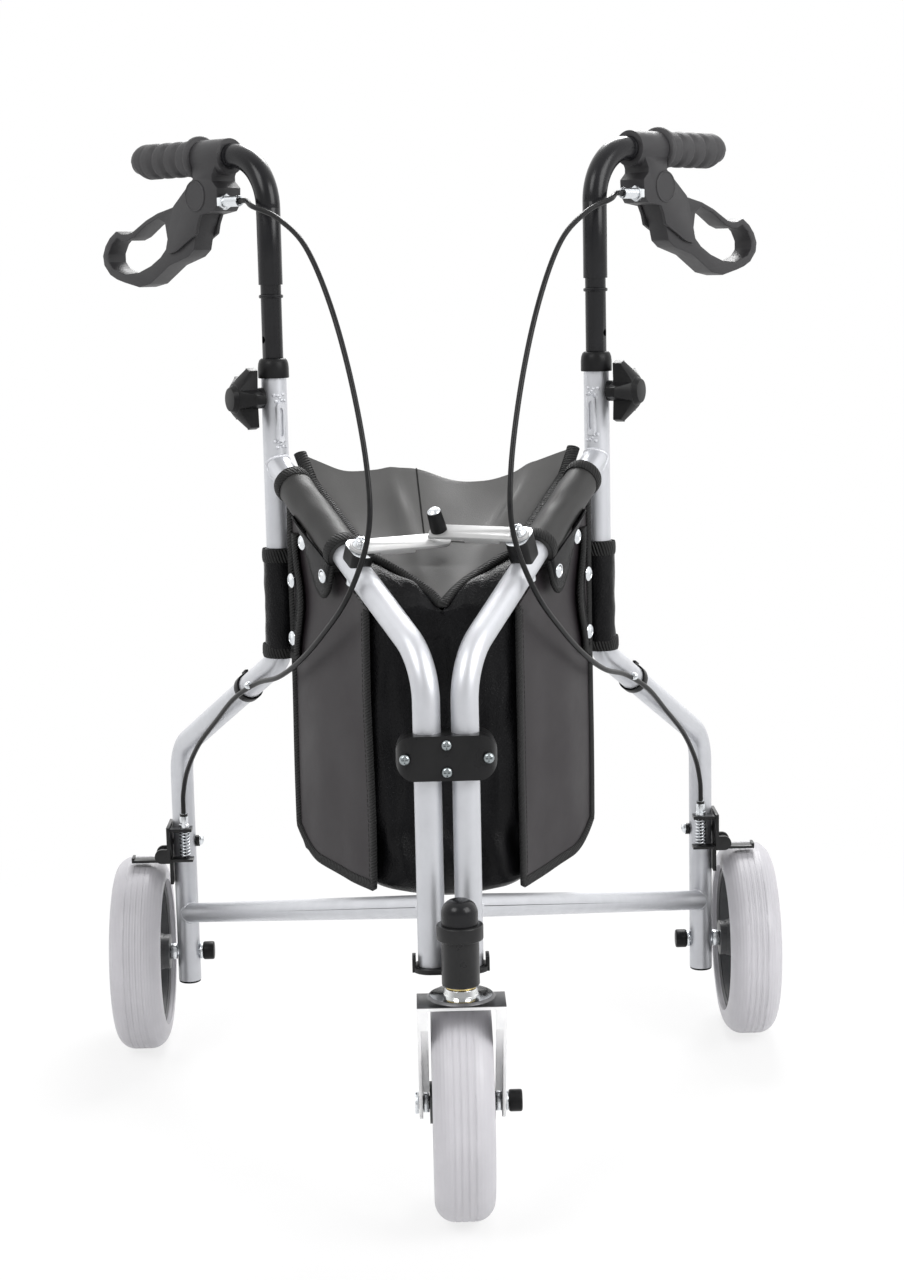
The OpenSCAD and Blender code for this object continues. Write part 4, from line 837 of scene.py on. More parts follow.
class RollatorStage(bpy.types.Operator):
    """Pale floor, soft studio light and the camera"""

    bl_idname = "rollator.stage"
    bl_label = "Stage"

    CAMERA_AT = (-0.0208, -2.032, 0.768)
    LENS, SENSOR = 65.6, 36                         # millimetres
    LOOK_DOWN, LOOK_RIGHT, ROLL = 9.2, 0.86, -1.2   # degrees
    FAR = 60
    # Name, place, width in metres and watts of each lamp, and what they point at.
    LAMPS = (("Key", (-1.5, -1.7, 2.3), 1.3, 33), ("Fill", (1.7, -1.3, 1.7), 1.4, 38),
             ("Back", (0.3, 1.8, 2.2), 1.1, 48))
    LAMPS_AIM = Vector((0, 0, 0.4))
    # Strength of the world on the object and behind it, and what polished faces see more towards the back.
    WORLD, SEEN, MIRRORED = 0.5, 1.0, 0.85
    FRONT_TO_BACK = (-0.8, 0.5)
    FLOOR_R, FLOOR_Z, FLOOR_PALE = 9, -0.0006, 0.93
    # The floor fades to the white surround between these distances, and is this white at the first.
    FADE, FADE_FROM = (0.3, 1.1), 0.78

    def camera(self, scene):
        """Camera in front, a little above the handles and looking down."""
        camera = bpy.data.objects.new("Camera", bpy.data.cameras.new("Camera"))
        scene.collection.objects.link(camera)
        camera.data.sensor_fit = "VERTICAL"
        camera.data.sensor_height = self.SENSOR
        camera.data.lens = self.LENS
        camera.data.clip_end = self.FAR
        camera.location = self.CAMERA_AT
        aim = Euler((math.radians(90 - self.LOOK_DOWN), 0, math.radians(-self.LOOK_RIGHT)), "XYZ").to_matrix()
        camera.rotation_euler = (aim @ Matrix.Rotation(math.radians(self.ROLL), 3, "Z")).to_euler()
        scene.camera = camera

    def world(self, scene):
        """Even light all round, white to the camera."""
        scene.world = bpy.data.worlds.new("Studio")
        tree = bare_tree(scene.world)
        out = tree.nodes.new("ShaderNodeOutputWorld")
        sky = tree.nodes.new("ShaderNodeBackground")
        rays = tree.nodes.new("ShaderNodeLightPath")
        direct = math_node(tree, "ADD", rays.outputs["Is Camera Ray"], rays.outputs["Is Transmission Ray"])
        level = map_range(tree, direct, new=(self.WORLD, self.SEEN))
        where = tree.nodes.new("ShaderNodeTexCoord")
        split = tree.nodes.new("ShaderNodeSeparateXYZ")
        tree.links.new(where.outputs["Generated"], split.inputs[0])
        walls = map_range(tree, split.outputs["Y"], self.FRONT_TO_BACK, (0, self.MIRRORED), "SMOOTHSTEP")
        mirrored = math_node(tree, "MULTIPLY", walls, rays.outputs["Is Glossy Ray"])
        tree.links.new(math_node(tree, "ADD", level, mirrored), sky.inputs["Strength"])
        sky.inputs["Color"].default_value = (1, 1, 1, 1)
        tree.links.new(sky.outputs[0], out.inputs[0])

    def floor_finish(self):
        """Pale floor that fades into the white surround."""
        material = bpy.data.materials.new("Floor")
        tree = bare_tree(material)
        out = tree.nodes.new("ShaderNodeOutputMaterial")
        pale = tree.nodes.new("ShaderNodeBsdfDiffuse")
        pale.inputs["Color"].default_value = (*(self.FLOOR_PALE,) * 3, 1)
        glow = tree.nodes.new("ShaderNodeEmission")
        where = tree.nodes.new("ShaderNodeTexCoord")
        far = tree.nodes.new("ShaderNodeVectorMath")
        far.operation = "LENGTH"
        tree.links.new(where.outputs["Object"], far.inputs[0])
        fade = map_range(tree, far.outputs["Value"], self.FADE, (self.FADE_FROM, 1), "SMOOTHSTEP")
        rays = tree.nodes.new("ShaderNodeLightPath")
        mirrored = math_node(tree, "ADD", rays.outputs["Is Glossy Ray"], rays.outputs["Is Transmission Ray"])
        seen = math_node(tree, "ADD", rays.outputs["Is Camera Ray"], mirrored, clamp=True)
        mix = tree.nodes.new("ShaderNodeMixShader")
        tree.links.new(math_node(tree, "MULTIPLY", fade, seen), mix.inputs[0])
        tree.links.new(pale.outputs[0], mix.inputs[1])
        tree.links.new(glow.outputs[0], mix.inputs[2])
        tree.links.new(mix.outputs[0], out.inputs[0])
        return material

    def execute(self, context):
        scene = context.scene
        scene.view_settings.view_transform = "Standard"
        self.camera(scene)
        self.world(scene)
        for name, place, size, power in self.LAMPS:
            lamp = bpy.data.lights.new(name, "AREA")
            lamp.shape = "SQUARE"
            lamp.size = size
            lamp.energy = power
            spot = bpy.data.objects.new(name, lamp)
            scene.collection.objects.link(spot)
            spot.location = place
            spot.rotation_euler = (self.LAMPS_AIM - Vector(place)).to_track_quat("-Z", "Y").to_euler()
        bm = bmesh.new()
        bmesh.ops.create_circle(bm, cap_ends=True, segments=96, radius=self.FLOOR_R)
        bmesh.ops.translate(bm, vec=(0, 0, self.FLOOR_Z), verts=bm.verts)
        floor = new_piece("Floor", bm, self.floor_finish())
        return {"FINISHED"}


class RollatorCables(bpy.types.Operator):
    """Brake cables from the levers to the rear brakes"""

    bl_idname = "rollator.cables"
    bl_label = "Brake cables"

    # A cable follows its handle above the second height and its half frame below the first.
    BEND_FROM, BEND_TO = (0, 0, 0.56), (0, 0, 0.81)
    CLIP_Z = 0.395
    CLIP_SCREW, CLIP_SCREW_AT, CLIP_SCREW_WAY = 0.007, Vector((0, -0.004, 0.003)), (0, -1, 0.2)

    def execute(self, context):
        thick = context.scene.rollator_sizes.cable
        for name, side in SIDES:
            path = spline([(side * x / 1000, y / 1000, z / 1000) for x, y, z in CABLE_ROUTE], 8)
            cable = swept(name + "_cable.sheath", path, finish_of("cable"), around(14, thick / 2))
            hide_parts(name + "_cable")
            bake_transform(cable, name + "_frame", name + "_handle", start=self.BEND_FROM, end=self.BEND_TO)
            dressed(name + "_cable_clip", finish_of("black_plastic"), 0.0005)
            clip = next(p for p in path if p.z < self.CLIP_Z)
            place = facing(clip + self.CLIP_SCREW_AT, self.CLIP_SCREW_WAY)
            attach(screw_heads(name + "_clip_screw", [place], "zinc", self.CLIP_SCREW), name + "_frame")
        drop_patterns()
        return {"FINISHED"}


class RollatorFrame(bpy.types.Operator):
    """Painted tubes with their weld beads, plugs and collars"""

    bl_idname = "rollator.frame"
    bl_label = "Frame tubes"

    COLLAR = [
        (0.0111, 0.672), (0.0133, 0.672), (0.0135, 0.6726), (0.0135, 0.6808), (0.0131, 0.6845),
        (0.0121, 0.6874), (0.0106, 0.6888), (0.0093, 0.6890), (0.0093, 0.6842), (0.0111, 0.6842),
        (0.0111, 0.672),
    ]
    LEG_PLUG = [(0.0098, -0.0022), (0.0107, -0.0016), (0.0107, -0.0001)]
    BEAD_STEP = 0.42            # share of a bead's width from one to the next
    # Slotted lug on the upright: its middle, end radius and half length, and the heights of its weld beads.
    LUG_Z, LUG_R, LUG_HALF = 0.634, 0.0042, 0.013
    LUG_WELDS = (0.615, 0.655)

    def saddle(self, side, at, ahead, foot, slope, r):
        """Line where a sloping tube of the half frame meets the upright one at distance at."""
        out = []
        for k in range(49):
            turn = 2 * math.pi * k / 48
            n, up = r * math.cos(turn), r * math.sin(turn)
            s = at - ahead * math.sqrt(max(0.0, (TUBE_R + SEAM) ** 2 - min(n * n, TUBE_R ** 2)))
            t = (s - foot[0] + up * math.sin(slope)) / math.cos(slope)
            out.append(half_point(side, s, foot[1] + t * math.sin(slope) + up * math.cos(slope), -n))
        return out

    def weld_places(self, side, bead):
        """Where the beads of a half frame's welds sit."""
        cross_slope = math.atan2(CROSS_REAR_Z - CROSS_FRONT_Z, LEG_S)
        run, cross = (0, RUN_FOOT), (0, CROSS_FRONT_Z)
        meetings = ((UPRIGHT_S, 1, run, RISE, TUBE_R), (0, -1, cross, cross_slope, CROSS_R),
                    (LEG_S, 1, cross, cross_slope, CROSS_R))
        places = []
        for at, ahead, foot, slope, r in meetings:
            line, post = self.saddle(side, at, ahead, foot, slope, r), half_point(side, at, 0)
            middle = sum(line[:-1], Vector()) / (len(line) - 1)
            ring = spaced(line, bead * self.BEAD_STEP)
            for p, after in zip(ring, ring[1:]):
                out = Vector((p.x - post.x, p.y - post.y, 0))
                places.append(facing(p, out.normalized() + (p - middle).normalized(), after - p))
        for z in self.LUG_WELDS:
            for k in range(-3, 4):
                turn = 0.16 * k
                p = half_point(side, UPRIGHT_S - TUBE_R * math.cos(turn), z + 0.003 * math.sin(2.4 * k),
                               TUBE_R * math.sin(turn))
                places.append(facing(p, p - half_point(side, UPRIGHT_S, p.z)))
        return places

    def upright_lug(self, name, side):
        """Welded lug with a slot on the front of an upright."""
        ahead = half_point(side, -1, 0) - half_point(side, 0, 0)
        place = facing(half_point(side, UPRIGHT_S - TUBE_R - 0.0006, self.LUG_Z), ahead)
        outline = [(x, y + math.copysign(self.LUG_HALF, y)) for x, y in around(32, self.LUG_R)]
        bm = bmesh.new()
        # Share of the outline's length and width, and the height, from the foot to the slot.
        rows = [[bm.verts.new(place @ Vector((y * long, x * wide, height))) for x, y in outline]
                for long, wide, height in ((1, 1.0, -0.0025), (1, 1.0, 0.0012), (1, 0.82, 0.0019),
                                           (0.72, 0.42, 0.0017), (0.7, 0.38, -0.0002))]
        for low, high in zip(rows, rows[1:]):
            bridged(bm, low, high)
        bm.faces.new(rows[0])
        bm.faces.new(rows[-1])
        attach(new_piece(name + "_upright_lug", bm, finish_of("weld"), 50), name + "_frame")

    def execute(self, context):
        bead = context.scene.rollator_sizes.weld
        shape = pattern("weld_form", bead_shape)
        for name, side in SIDES:
            for node in ("front_tube", "rear_tube", "cross_tube"):
                dressed(f"{name}_{node}", finish_of("silver"), smooth=30)
            upright, leg_foot = half_point(side, UPRIGHT_S, 0), half_point(side, LEG_S, LEG_FOOT_Z)
            collar = turned(name + "_collar.dome", self.COLLAR, Matrix.Translation(upright),
                            finish_of("black_plastic"))
            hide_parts(name + "_collar")
            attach(collar, name + "_frame")
            places = self.weld_places(side, bead)
            welds = repeated(name + "_welds", places, shape, finish_of("weld"), bead, 80)
            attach(welds, name + "_frame")
            plug = turned(name + "_leg_plug", self.LEG_PLUG, Matrix.Translation(leg_foot),
                          finish_of("black_plastic"))
            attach(plug, name + "_frame")
            self.upright_lug(name, side)
        drop_patterns()
        return {"FINISHED"}


class RollatorWheels(bpy.types.Operator):
    """Tyres, hubs, axles and their caps"""

    bl_idname = "rollator.wheels"
    bl_label = "Wheels"

    RIM = [(0.0662, 0.0168), (0.0718, 0.0168), (0.0726, 0.0182), (0.0718, 0.0196), (0.0672, 0.0196),
           (0.0662, 0.0182), (0.0662, 0.0168)]
    BOSS = [(0.0165, 0.0060), (0.0200, 0.0060), (0.0190, 0.0140), (0.0174, 0.0200), (0.0165, 0.0200),
            (0.0165, 0.0060)]

    def execute(self, context):
        for wheel, x, y in WHEELS:
            dressed(wheel + "_tyre", finish_of("tyre"), 0.0003, 1, smooth=35)
            dressed(wheel + "_hub", finish_of("hub"), 0.0016, 3)
            trims = []
            for way in (-1, 1):
                place = facing((x, y, WHEEL_R), (way, 0, 0))
                trims.append(turned("rim", self.RIM, place, finish_of("hub"), 72))
                trims.append(turned("boss", self.BOSS, place, finish_of("hub")))
            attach(joined(wheel + "_hub_trim", trims), wheel + "_wheel")
            dressed(wheel + "_axle", finish_of("zinc"), 0.0007)
            dressed(wheel + "_axle_cap", finish_of("black_plastic"), 0.0016, 3)
        return {"FINISHED"}


class RollatorCaster(bpy.types.Operator):
    """Swivelling front fork with its housing and foot bracket"""

    bl_idname = "rollator.caster"
    bl_label = "Caster"

    DOME_R, DOME_BEND, DOME_WALL = 0.0145, 0.011, 0.002
    DISH_R, CROWN_Z = 0.016, 0.195      # the stem has a painted dark reflection outside the first, the fork above the second

    def stem_part(self, point):
        """The dish round the stem gets dark metal: a painted reflection of dark surroundings."""
        return int(math.hypot(point[0] - SWIVEL[0], point[1] - SWIVEL[1]) > self.DISH_R)

    def fork_part(self, point):
        """The crown's upper face gets dark metal: a painted reflection of dark surroundings."""
        return int(point[2] > self.CROWN_Z)

    def execute(self, context):
        dressed("foot_bracket", finish_of("black_paint"), 0.0012, 3)
        dressed("caster_housing", finish_of("black_paint"), 0.0012, 3)
        heights = [vert.co.z for vert in frame["nodes"]["caster_cap"].data.vertices]
        foot, top, r, bend = min(heights), max(heights), self.DOME_R, self.DOME_BEND
        profile = [(r - self.DOME_WALL, foot), (r, foot)]
        for k in range(11):
            a = math.radians(90 * k / 10)
            profile.append((r - bend + bend * math.cos(a), top - bend + bend * math.sin(a)))
        profile.append((0, top))
        cap = turned("caster_cap.dome", profile, Matrix.Translation((*SWIVEL, 0)), finish_of("gloss_black"))
        in_place_of(cap, "caster_cap")
        dressed("caster_bearings", finish_of("gold"), 0.0004)
        # The dish and the crown top are painted dark, as a painted reflection of dark surroundings.
        dark = finish_of("dark_plate")
        dressed("caster_stem", finish_of("chrome"), 0.0010, 3, paint=(dark, self.stem_part))
        dressed("caster_fork", finish_of("fork"), 0.0012, 3, paint=(dark, self.fork_part))
        return {"FINISHED"}


class RollatorBrakes(bpy.types.Operator):
    """Rear brakes with their brackets, arms, springs and ferrules"""

    bl_idname = "rollator.brakes"
    bl_label = "Brakes"

    # Foot of the pull wire; radius, wire and span of its spring, and the height that the spring is held at.
    WIRE = (0.25388, 0.203, 0.19538)
    SPRING_R, SPRING_WIRE, SPRING_FOOT, SPRING_SPAN = 0.0045, 0.0008, 0.0008, 0.0254
    SPRING_HELD_Z, TURN_STEPS = 0.2224, 20
    FERRULE_Z = 0.2257
    FERRULE = [(0.0050, 0), (0.0050, 0.0035), (0.0042, 0.0040), (0.0042, 0.0105), (0.0036, 0.0120),
               (0.0032, 0.0142), (0.0025, 0.0144)]
    SCREW_AT, SCREW = (0.24088, 0.222, 0.2088), 0.011

    def execute(self, context):
        steps = context.scene.rollator_sizes.spring_turns * self.TURN_STEPS
        ring = around(self.TURN_STEPS, self.SPRING_R)
        for name, side in SIDES:
            dressed(name + "_brake_bracket", finish_of("black_paint"), 0.0006)
            dressed(name + "_brake_arm", finish_of("black_paint"), 0.0005)
            wire = Vector((side * self.WIRE[0], *self.WIRE[1:]))
            coil = []
            for k in range(steps + 1):
                height = self.SPRING_FOOT + self.SPRING_SPAN * k / steps
                coil.append(wire + Vector((*ring[k % self.TURN_STEPS], height)))
            spring = swept(name + "_brake_spring.coil", coil, finish_of("zinc"), around(8, self.SPRING_WIRE),
                           up=(1, 0, 0))
            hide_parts(name + "_brake_spring")
            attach(spring, name + "_frame")
            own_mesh(spring)
            place = Matrix.Translation((wire.x, wire.y, self.FERRULE_Z))
            ferrule = turned(name + "_ferrule", self.FERRULE, place, finish_of("zinc"), 24)
            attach(ferrule, name + "_frame")
            place = facing((side * self.SCREW_AT[0], *self.SCREW_AT[1:]), (-side, 0, 0))
            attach(screw_heads(name + "_bracket_screw", [place], "zinc", self.SCREW), name + "_frame")
        drop_patterns()
        return {"FINISHED"}


class RollatorHandles(bpy.types.Operator):
    """Sliding handles with grips, loop levers and star knobs"""

    bl_idname = "rollator.handles"
    bl_label = "Handles"

    # Grip: its flange, the radius and span of its ribbed part, the depth and pitch of the ribs, and its end.
    FLANGE = [(0.0112, 0.0), (0.0178, 0.0), (0.0192, 0.0012), (0.0192, 0.0048), (0.0176, 0.0062),
              (0.0158, 0.0075)]
    GRIP_R, RIB_DEPTH, RIB_PITCH, RIB_START = 0.0158, 0.0021, 0.017, 0.0065
    RIBBED_FROM, RIBBED_SPAN, RIBS_END, RIB_FADE = 0.0080, 0.0720, 0.074, 0.006
    END = [(0.0155, 0.0820), (0.0146, 0.0850), (0.0132, 0.0880), (0.0112, 0.0903),
           (0.0080, 0.0915), (0, 0.0920)]
    SLANT_FROM, SLANT_SPAN, SLANT = 0.070, 0.022, 0.010
    STEM_RING = [(0.0088, 0.7405), (0.0100, 0.7405), (0.0106, 0.7413), (0.0106, 0.7427), (0.0100, 0.7435),
                 (0.0088, 0.7435), (0.0088, 0.7405)]
    # Round mark on both cheeks of the lever housing: radius, height of its rim, section, and the disc inside.
    MARK_R, MARK_OUT, MARK_RIM = 0.013, 0.0134, 0.0009
    MARK_DISC = [(0.0122, 0.0126), (0.0122, 0.0138), (0, 0.0139)]

    def grip(self, name, side):
        """Ribbed rubber grip with a flange and a slanting rounded end."""
        along = Matrix.Rotation(math.radians(90), 4, "Y")
        place = handle_frame(side) @ Matrix.Translation(GRIP_START) @ along
        profile = list(self.FLANGE)
        for k in range(90):
            x = self.RIBBED_FROM + self.RIBBED_SPAN * k / 89
            wave = 0.5 - 0.5 * math.cos(2 * math.pi * (x - self.RIB_START) / self.RIB_PITCH)
            soft = clamped((x - self.RIBBED_FROM) / self.RIB_FADE)
            soft *= clamped((self.RIBS_END - x) / self.RIB_FADE)
            profile.append((self.GRIP_R - self.RIB_DEPTH * soft * (1 - wave) ** 3, x))
        grip = turned(name + "_grip.rubber", profile + self.END, place, finish_of("rubber"), 56, 50)
        inward = place.inverted()
        for vert in grip.data.vertices:
            low = inward @ vert.co
            past = max(0.0, (low.z - self.SLANT_FROM) / self.SLANT_SPAN)
            cut = past * max(0.0, low.x / self.GRIP_R) * self.SLANT
            vert.co = place @ (low - Vector((0, 0, cut)))
        in_place_of(grip, name + "_grip")

    def housing_marks(self, name, side):
        """Raised round mark at the pin, on both cheeks of a lever housing."""
        pin = handle_frame(side) @ Matrix.Translation(LEVER_PIN) @ Matrix.Rotation(math.radians(90), 4, "X")
        parts = []
        for way in (-1, 1):
            rim = [pin @ Vector((x, y, way * self.MARK_OUT)) for x, y in around(48, self.MARK_R)]
            parts.append(swept("rim", rim, finish_of("plastic"), around(8, self.MARK_RIM), closed=True))
            parts.append(turned("disc", self.MARK_DISC, pin @ Matrix.Diagonal((1, 1, way, 1)),
                                finish_of("plastic")))
        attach(joined(name + "_lever_emboss", parts), carrier(name + "_lever_housing"))

    def execute(self, context):
        for name, side in SIDES:
            dressed(name + "_handle_tube", finish_of("gloss_black"), 0.0005, smooth=30)
            self.grip(name, side)
            dressed(name + "_lever_housing", finish_of("plastic"), 0.0016, 3)
            dressed(name + "_lever", finish_of("plastic"), 0.0018, 3)
            dressed(name + "_star_knob", finish_of("black_plastic"), 0.0018, 3)
            dressed(name + "_barrel_adjuster", finish_of("zinc"), 0.0006)
            stop = turned(name + "_stem_ring", self.STEM_RING, handle_frame(side), finish_of("gloss_black"))
            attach(stop, name + "_handle")
            self.housing_marks(name, side)
        return {"FINISHED"}


class RollatorLinks(bpy.types.Operator):
    """Hinge block and folding link bars"""

    bl_idname = "rollator.links"
    bl_label = "Hinge and links"

    # Hinge block: its face and middle, and its screws' places from there.
    FACE_Y, BLOCK_Z, BLOCK_SCREW = -0.2434, 0.384, 0.0086
    BLOCK_SCREWS = ((-0.033, 0), (0.033, 0), (0, -0.0108), (0, 0.0108))
    # Above a bar's underside: the bolt's head with its washer, and the top of the link knob.
    BAR_AND_WASHER, BOLT_HEAD, KNOB_TOP = 0.0033, 0.0036, 0.0221
    BOLT_R, LINK_SCREW = 0.0032, 0.0105

    def knob_part(self, point):
        """The screw on the end of the link knob and its stud are plated."""
        low = link_frame(1).inverted() @ Vector(point)
        return int(low.z > BAR_RISE[1] + self.KNOB_TOP or low.z < 0.0283)

    def execute(self, context):
        dressed("hinge_block_front", finish_of("block"), 0.006, 5)
        dressed("hinge_block_rear", finish_of("block"), 0.006, 5)
        places = [facing((x, self.FACE_Y, self.BLOCK_Z + z), (0, -1, 0)) for x, z in self.BLOCK_SCREWS]
        heads = screw_heads("hinge_block_screws.heads", places, "screw", self.BLOCK_SCREW)
        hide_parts("hinge_block_screws")
        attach(heads, "front_column")
        dressed("link_knob", finish_of("black_plastic"), 0.0008, paint=(finish_of("zinc"), self.knob_part))
        for name, side in SIDES:
            seat, rise = link_frame(side), BAR_RISE[side]
            inward = seat.inverted()
            dressed(name + "_link_bar", finish_of("bar"), 0.0005)

            def saddle_part(point, inward=inward, rise=rise):
                """The saddle between the tube and the bar is black."""
                low = inward @ Vector(point)
                return int(0 < low.z < rise - 0.0001 and math.hypot(low.x, low.y) > self.BOLT_R)

            dressed(name + "_link_bolt", finish_of("zinc"), 0.0006,
                    paint=(finish_of("black_plastic"), saddle_part))
            top = seat @ Matrix.Translation((0, 0, rise + self.BAR_AND_WASHER + self.BOLT_HEAD))
            head = screw_heads(name + "_link_screw", [top], "zinc", self.LINK_SCREW)
            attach(head, carrier(name + "_link_bolt"))
        drop_patterns()
        return {"FINISHED"}


class RollatorBag(bpy.types.Operator):
    """Hanging bag with its flap, panels, sleeves and snaps"""

    bl_idname = "rollator.bag"
    bl_label = "Bag"

    # Body: height of its floor, ends along the half frame, height and depth of its fullness, corner radius.
    FLOOR = 0.252
    FRONT_S, BACK_S = 0.092, 0.244
    FULL_HEIGHT, FULLNESS, CORNER_R = 0.26, 0.004, 0.014
    CLOTH, PANEL_CLOTH = 0.0016, 0.0018
    EDGE_UP = (0, -0.5, 0.85)           # flat side of the tapes on the sloping top
    # Sleeves: ends and radius of the sloping one; top, length, radius and bend of the one on the upright.
    RUN_SLEEVE, RUN_SLEEVE_R = (0.135, 0.236), 0.0150
    UPRIGHT_TOP, UPRIGHT_LONG, UPRIGHT_SLEEVE_R = 0.524, 0.0985, 0.0143
    BEND_Z, BEND_R = 0.4517, 0.042
    # Lower edge of a snap tab as distance and height, and the snaps as distance, height and stand-off.
    TAB_EDGE = [(0.138, 0.522, 0), (0.145, 0.503, 0), (0.156, 0.4945, 0), (0.168, 0.499, 0),
                (0.180, 0.515, 0), (0.192, 0.538, 0), (0.203, 0.558, 0)]
    SNAPS, SNAP = [(0.150, 0.512, 0.0138), (0.185, 0.5365, 0.0150), (0.226, 0.499, 0.0069),
                   (0.229, 0.448, 0.0060)], 0.0128

    def folded(self, piece, body="front_column"):
        """Puts a piece of the bag on a body, with a mesh of its own."""
        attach(piece, body)
        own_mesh(piece)
        return piece

    def plan(self, z, inset):
        """Outline of the bag at a height: round cornered, drawn in by an inset, fuller half way up."""
        full = self.FULLNESS * math.sin(math.pi * clamped((z - self.FLOOR) / self.FULL_HEIGHT))
        y0 = COLUMN[1] + LEAN[1] * self.FRONT_S + inset
        y1 = COLUMN[1] + LEAN[1] * self.BACK_S - inset
        x0 = COLUMN[0] + LEAN[0] * self.FRONT_S - inset * 1.1
        x1 = COLUMN[0] + LEAN[0] * self.BACK_S - inset * 1.1
        corners = [(-x0, y0), (x0, y0), (x1, y1), (-x1, y1)]
        out = []
        for i, here in enumerate(corners):
            here = Vector(here)
            last, nxt = Vector(corners[i - 1]), Vector(corners[(i + 1) % 4])
            a = here + (last - here).normalized() * self.CORNER_R
            b = here + (nxt - here).normalized() * self.CORNER_R
            for k in range(9):
                t = k / 8
                out.append(a * (1 - t) ** 2 + here * 2 * t * (1 - t) + b * t * t)
            count = 40 if i % 2 == 0 else 30
            end = nxt + (here - nxt).normalized() * self.CORNER_R
            way = Vector(((nxt - here).y, -(nxt - here).x)).normalized()
            for k in range(1, count):
                t = k / count
                out.append(b.lerp(end, t) + way * full * math.sin(math.pi * t))
        return out

    def dent(self, x, y, z):
        """How far the front of the bag falls in at a point: soft folds and a valley in the middle."""
        fold = (noise.noise(Vector((x * 42, y * 20, z * 7))) * 0.0065
                + noise.noise(Vector((x * 90 + 4, 3, z * 26))) * 0.0018)
        valley = 0.012 * math.exp(-((x + 0.004) / 0.012) ** 2) * (0.35 + 0.65 * (z - 0.25) / 0.25)
        return abs(fold), valley

    def body(self):
        """Shell of the bag: a lofted skin that hangs, sags and creases."""
        rings = []
        levels = [(0.0, 0.030), (0.0, 0.016), (0.0025, 0.007), (0.007, 0.002), (0.014, 0.0)]
        levels += [(0.014 + 0.30 * k / 44, 0.0) for k in range(1, 45)]
        for rise, inset in levels:
            ring = []
            for p in self.plan(self.FLOOR + rise, inset):
                z = min(self.FLOOR + rise, top_z(p.y) - 0.003)
                sag = 0.010 * math.exp(-(p.x / 0.05) ** 2) * math.exp(-rise / 0.05)
                q = Vector((p.x, p.y, z - sag))
                front = clamped((-0.125 - p.y) / 0.015)
                back = clamped((p.y + 0.025) / 0.012)
                fold, valley = self.dent(p.x, p.y, z)
                q.y += front * (fold * 1.3 + valley) - back * fold
                lower = math.exp(-((z - 0.285) / 0.02) ** 2)
                q.y += front * lower * 0.006 * math.sin(p.x * 160 + z * 60)
                ring.append(q)
            rings.append(ring)
        bm = bmesh.new()
        rows = [[bm.verts.new(p) for p in ring] for ring in rings]
        n = len(rows[0])
        for low, high in zip(rows, rows[1:]):
            for k in range(n):
                m = (k + 1) % n
                if (high[k].co - low[k].co).length < 1e-7 and (high[m].co - low[m].co).length < 1e-7:
                    continue
                bm.faces.new((low[k], low[m], high[m], high[k]))
        for ring, deeper in ((rows[0], -0.006), (rows[-1], -0.001)):
            middle = sum((v.co for v in ring), Vector()) / n
            centre = bm.verts.new(middle + Vector((0, 0, deeper)))
            for k in range(n):
                bm.faces.new((ring[k], ring[(k + 1) % n], centre))
        bmesh.ops.remove_doubles(bm, verts=bm.verts, dist=0.00002)
        shell = new_piece("storage_bag.shell", bm, finish_of("vinyl"), 60)
        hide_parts("storage_bag")
        return self.folded(shell)

    def panel_point(self, side, u, v, out=0.0):
        """Point of a side panel: u runs back along the frame, v up from its cut lower edge."""
        s = self.FRONT_S + 0.003 + (self.BACK_S - self.FRONT_S - 0.010) * u
        rise = 0.003 + 0.007 * max(0.0, (u - 0.25) / 0.75) ** 1.3
        corner = 0.018 * max(0.0, (u - 0.70) / 0.30) ** 2
        low = self.FLOOR + rise + corner
        high = run_z(s) - 0.0200
        z = low + (high - low) * v
        up = clamped((z - self.FLOOR) / self.FULL_HEIGHT)
        belly = self.FULLNESS * math.sin(math.pi * up) * math.sin(math.pi * u)
        ripple = 0.0016 * noise.noise(Vector((u * 3 + side, v * 2.2, 1.5)))
        return half_point(side, s, z, belly + ripple + 0.0022 + out)

    def tape(self, name, points, width, up=(0, 0, 1), thick=0.0022):
        """Flat woven tape folded over an edge."""
        section = around(14, width / 2, thick)
        return swept(name, spaced(points, 0.004), finish_of("tape"), section, up=up, smooth=60)

    def stitches(self, name, points, normal):
        """Row of stitches along a line."""
        gap = bpy.context.scene.rollator_sizes.stitch
        line = spaced(points, gap)
        places = []
        for a, b in zip(line, line[1:]):
            x = (b - a).normalized()
            z = (normal - x * normal.dot(x)).normalized()
            y = z.cross(x)
            places.append(Matrix.Translation((a + b) / 2) @ Matrix((x, y, z)).transposed().to_4x4())
        return repeated(name, places, self.thread, finish_of("thread"), gap * 0.8, 60)

    def side_panel(self, name, side):
        """Matt side panel with bound edges and stitching."""
        def surface(u, v):
            return self.panel_point(side, u if side > 0 else 1 - u, v)

        panel = sheet_of(name + "_bag_panel", surface, 36, 60, self.PANEL_CLOTH, finish_of("panel"))
        self.folded(panel)
        width = bpy.context.scene.rollator_sizes.tape
        edge = [self.panel_point(side, 0, 1 - k / 30) for k in range(30)]
        edge += [self.panel_point(side, k / 30, 0) for k in range(30)]
        edge += [self.panel_point(side, 1, k / 30) for k in range(31)]
        away = outboard(side)
        tape = self.tape(name + "_bag_tape", edge, width, up=away)
        self.folded(tape)
        inner = [self.panel_point(side, 0.035, 0.98 - 0.95 * k / 40, 0.0014) for k in range(41)]
        thread = self.stitches(name + "_bag_stitches", inner, away)
        self.folded(thread)

    def v_edge(self, w):
        """Where the V edge of the top lies, for w across from -1 to 1."""
        return -0.078 - 0.068 * (1 - abs(w))

    def top_point(self, w, y):
        """Point of the top's plane: w across from -1 to 1 between the tubes."""
        s = (y - COLUMN[1]) / LEAN[1]
        return Vector((w * (COLUMN[0] + LEAN[0] * s - 0.0185), y, top_z(y)))

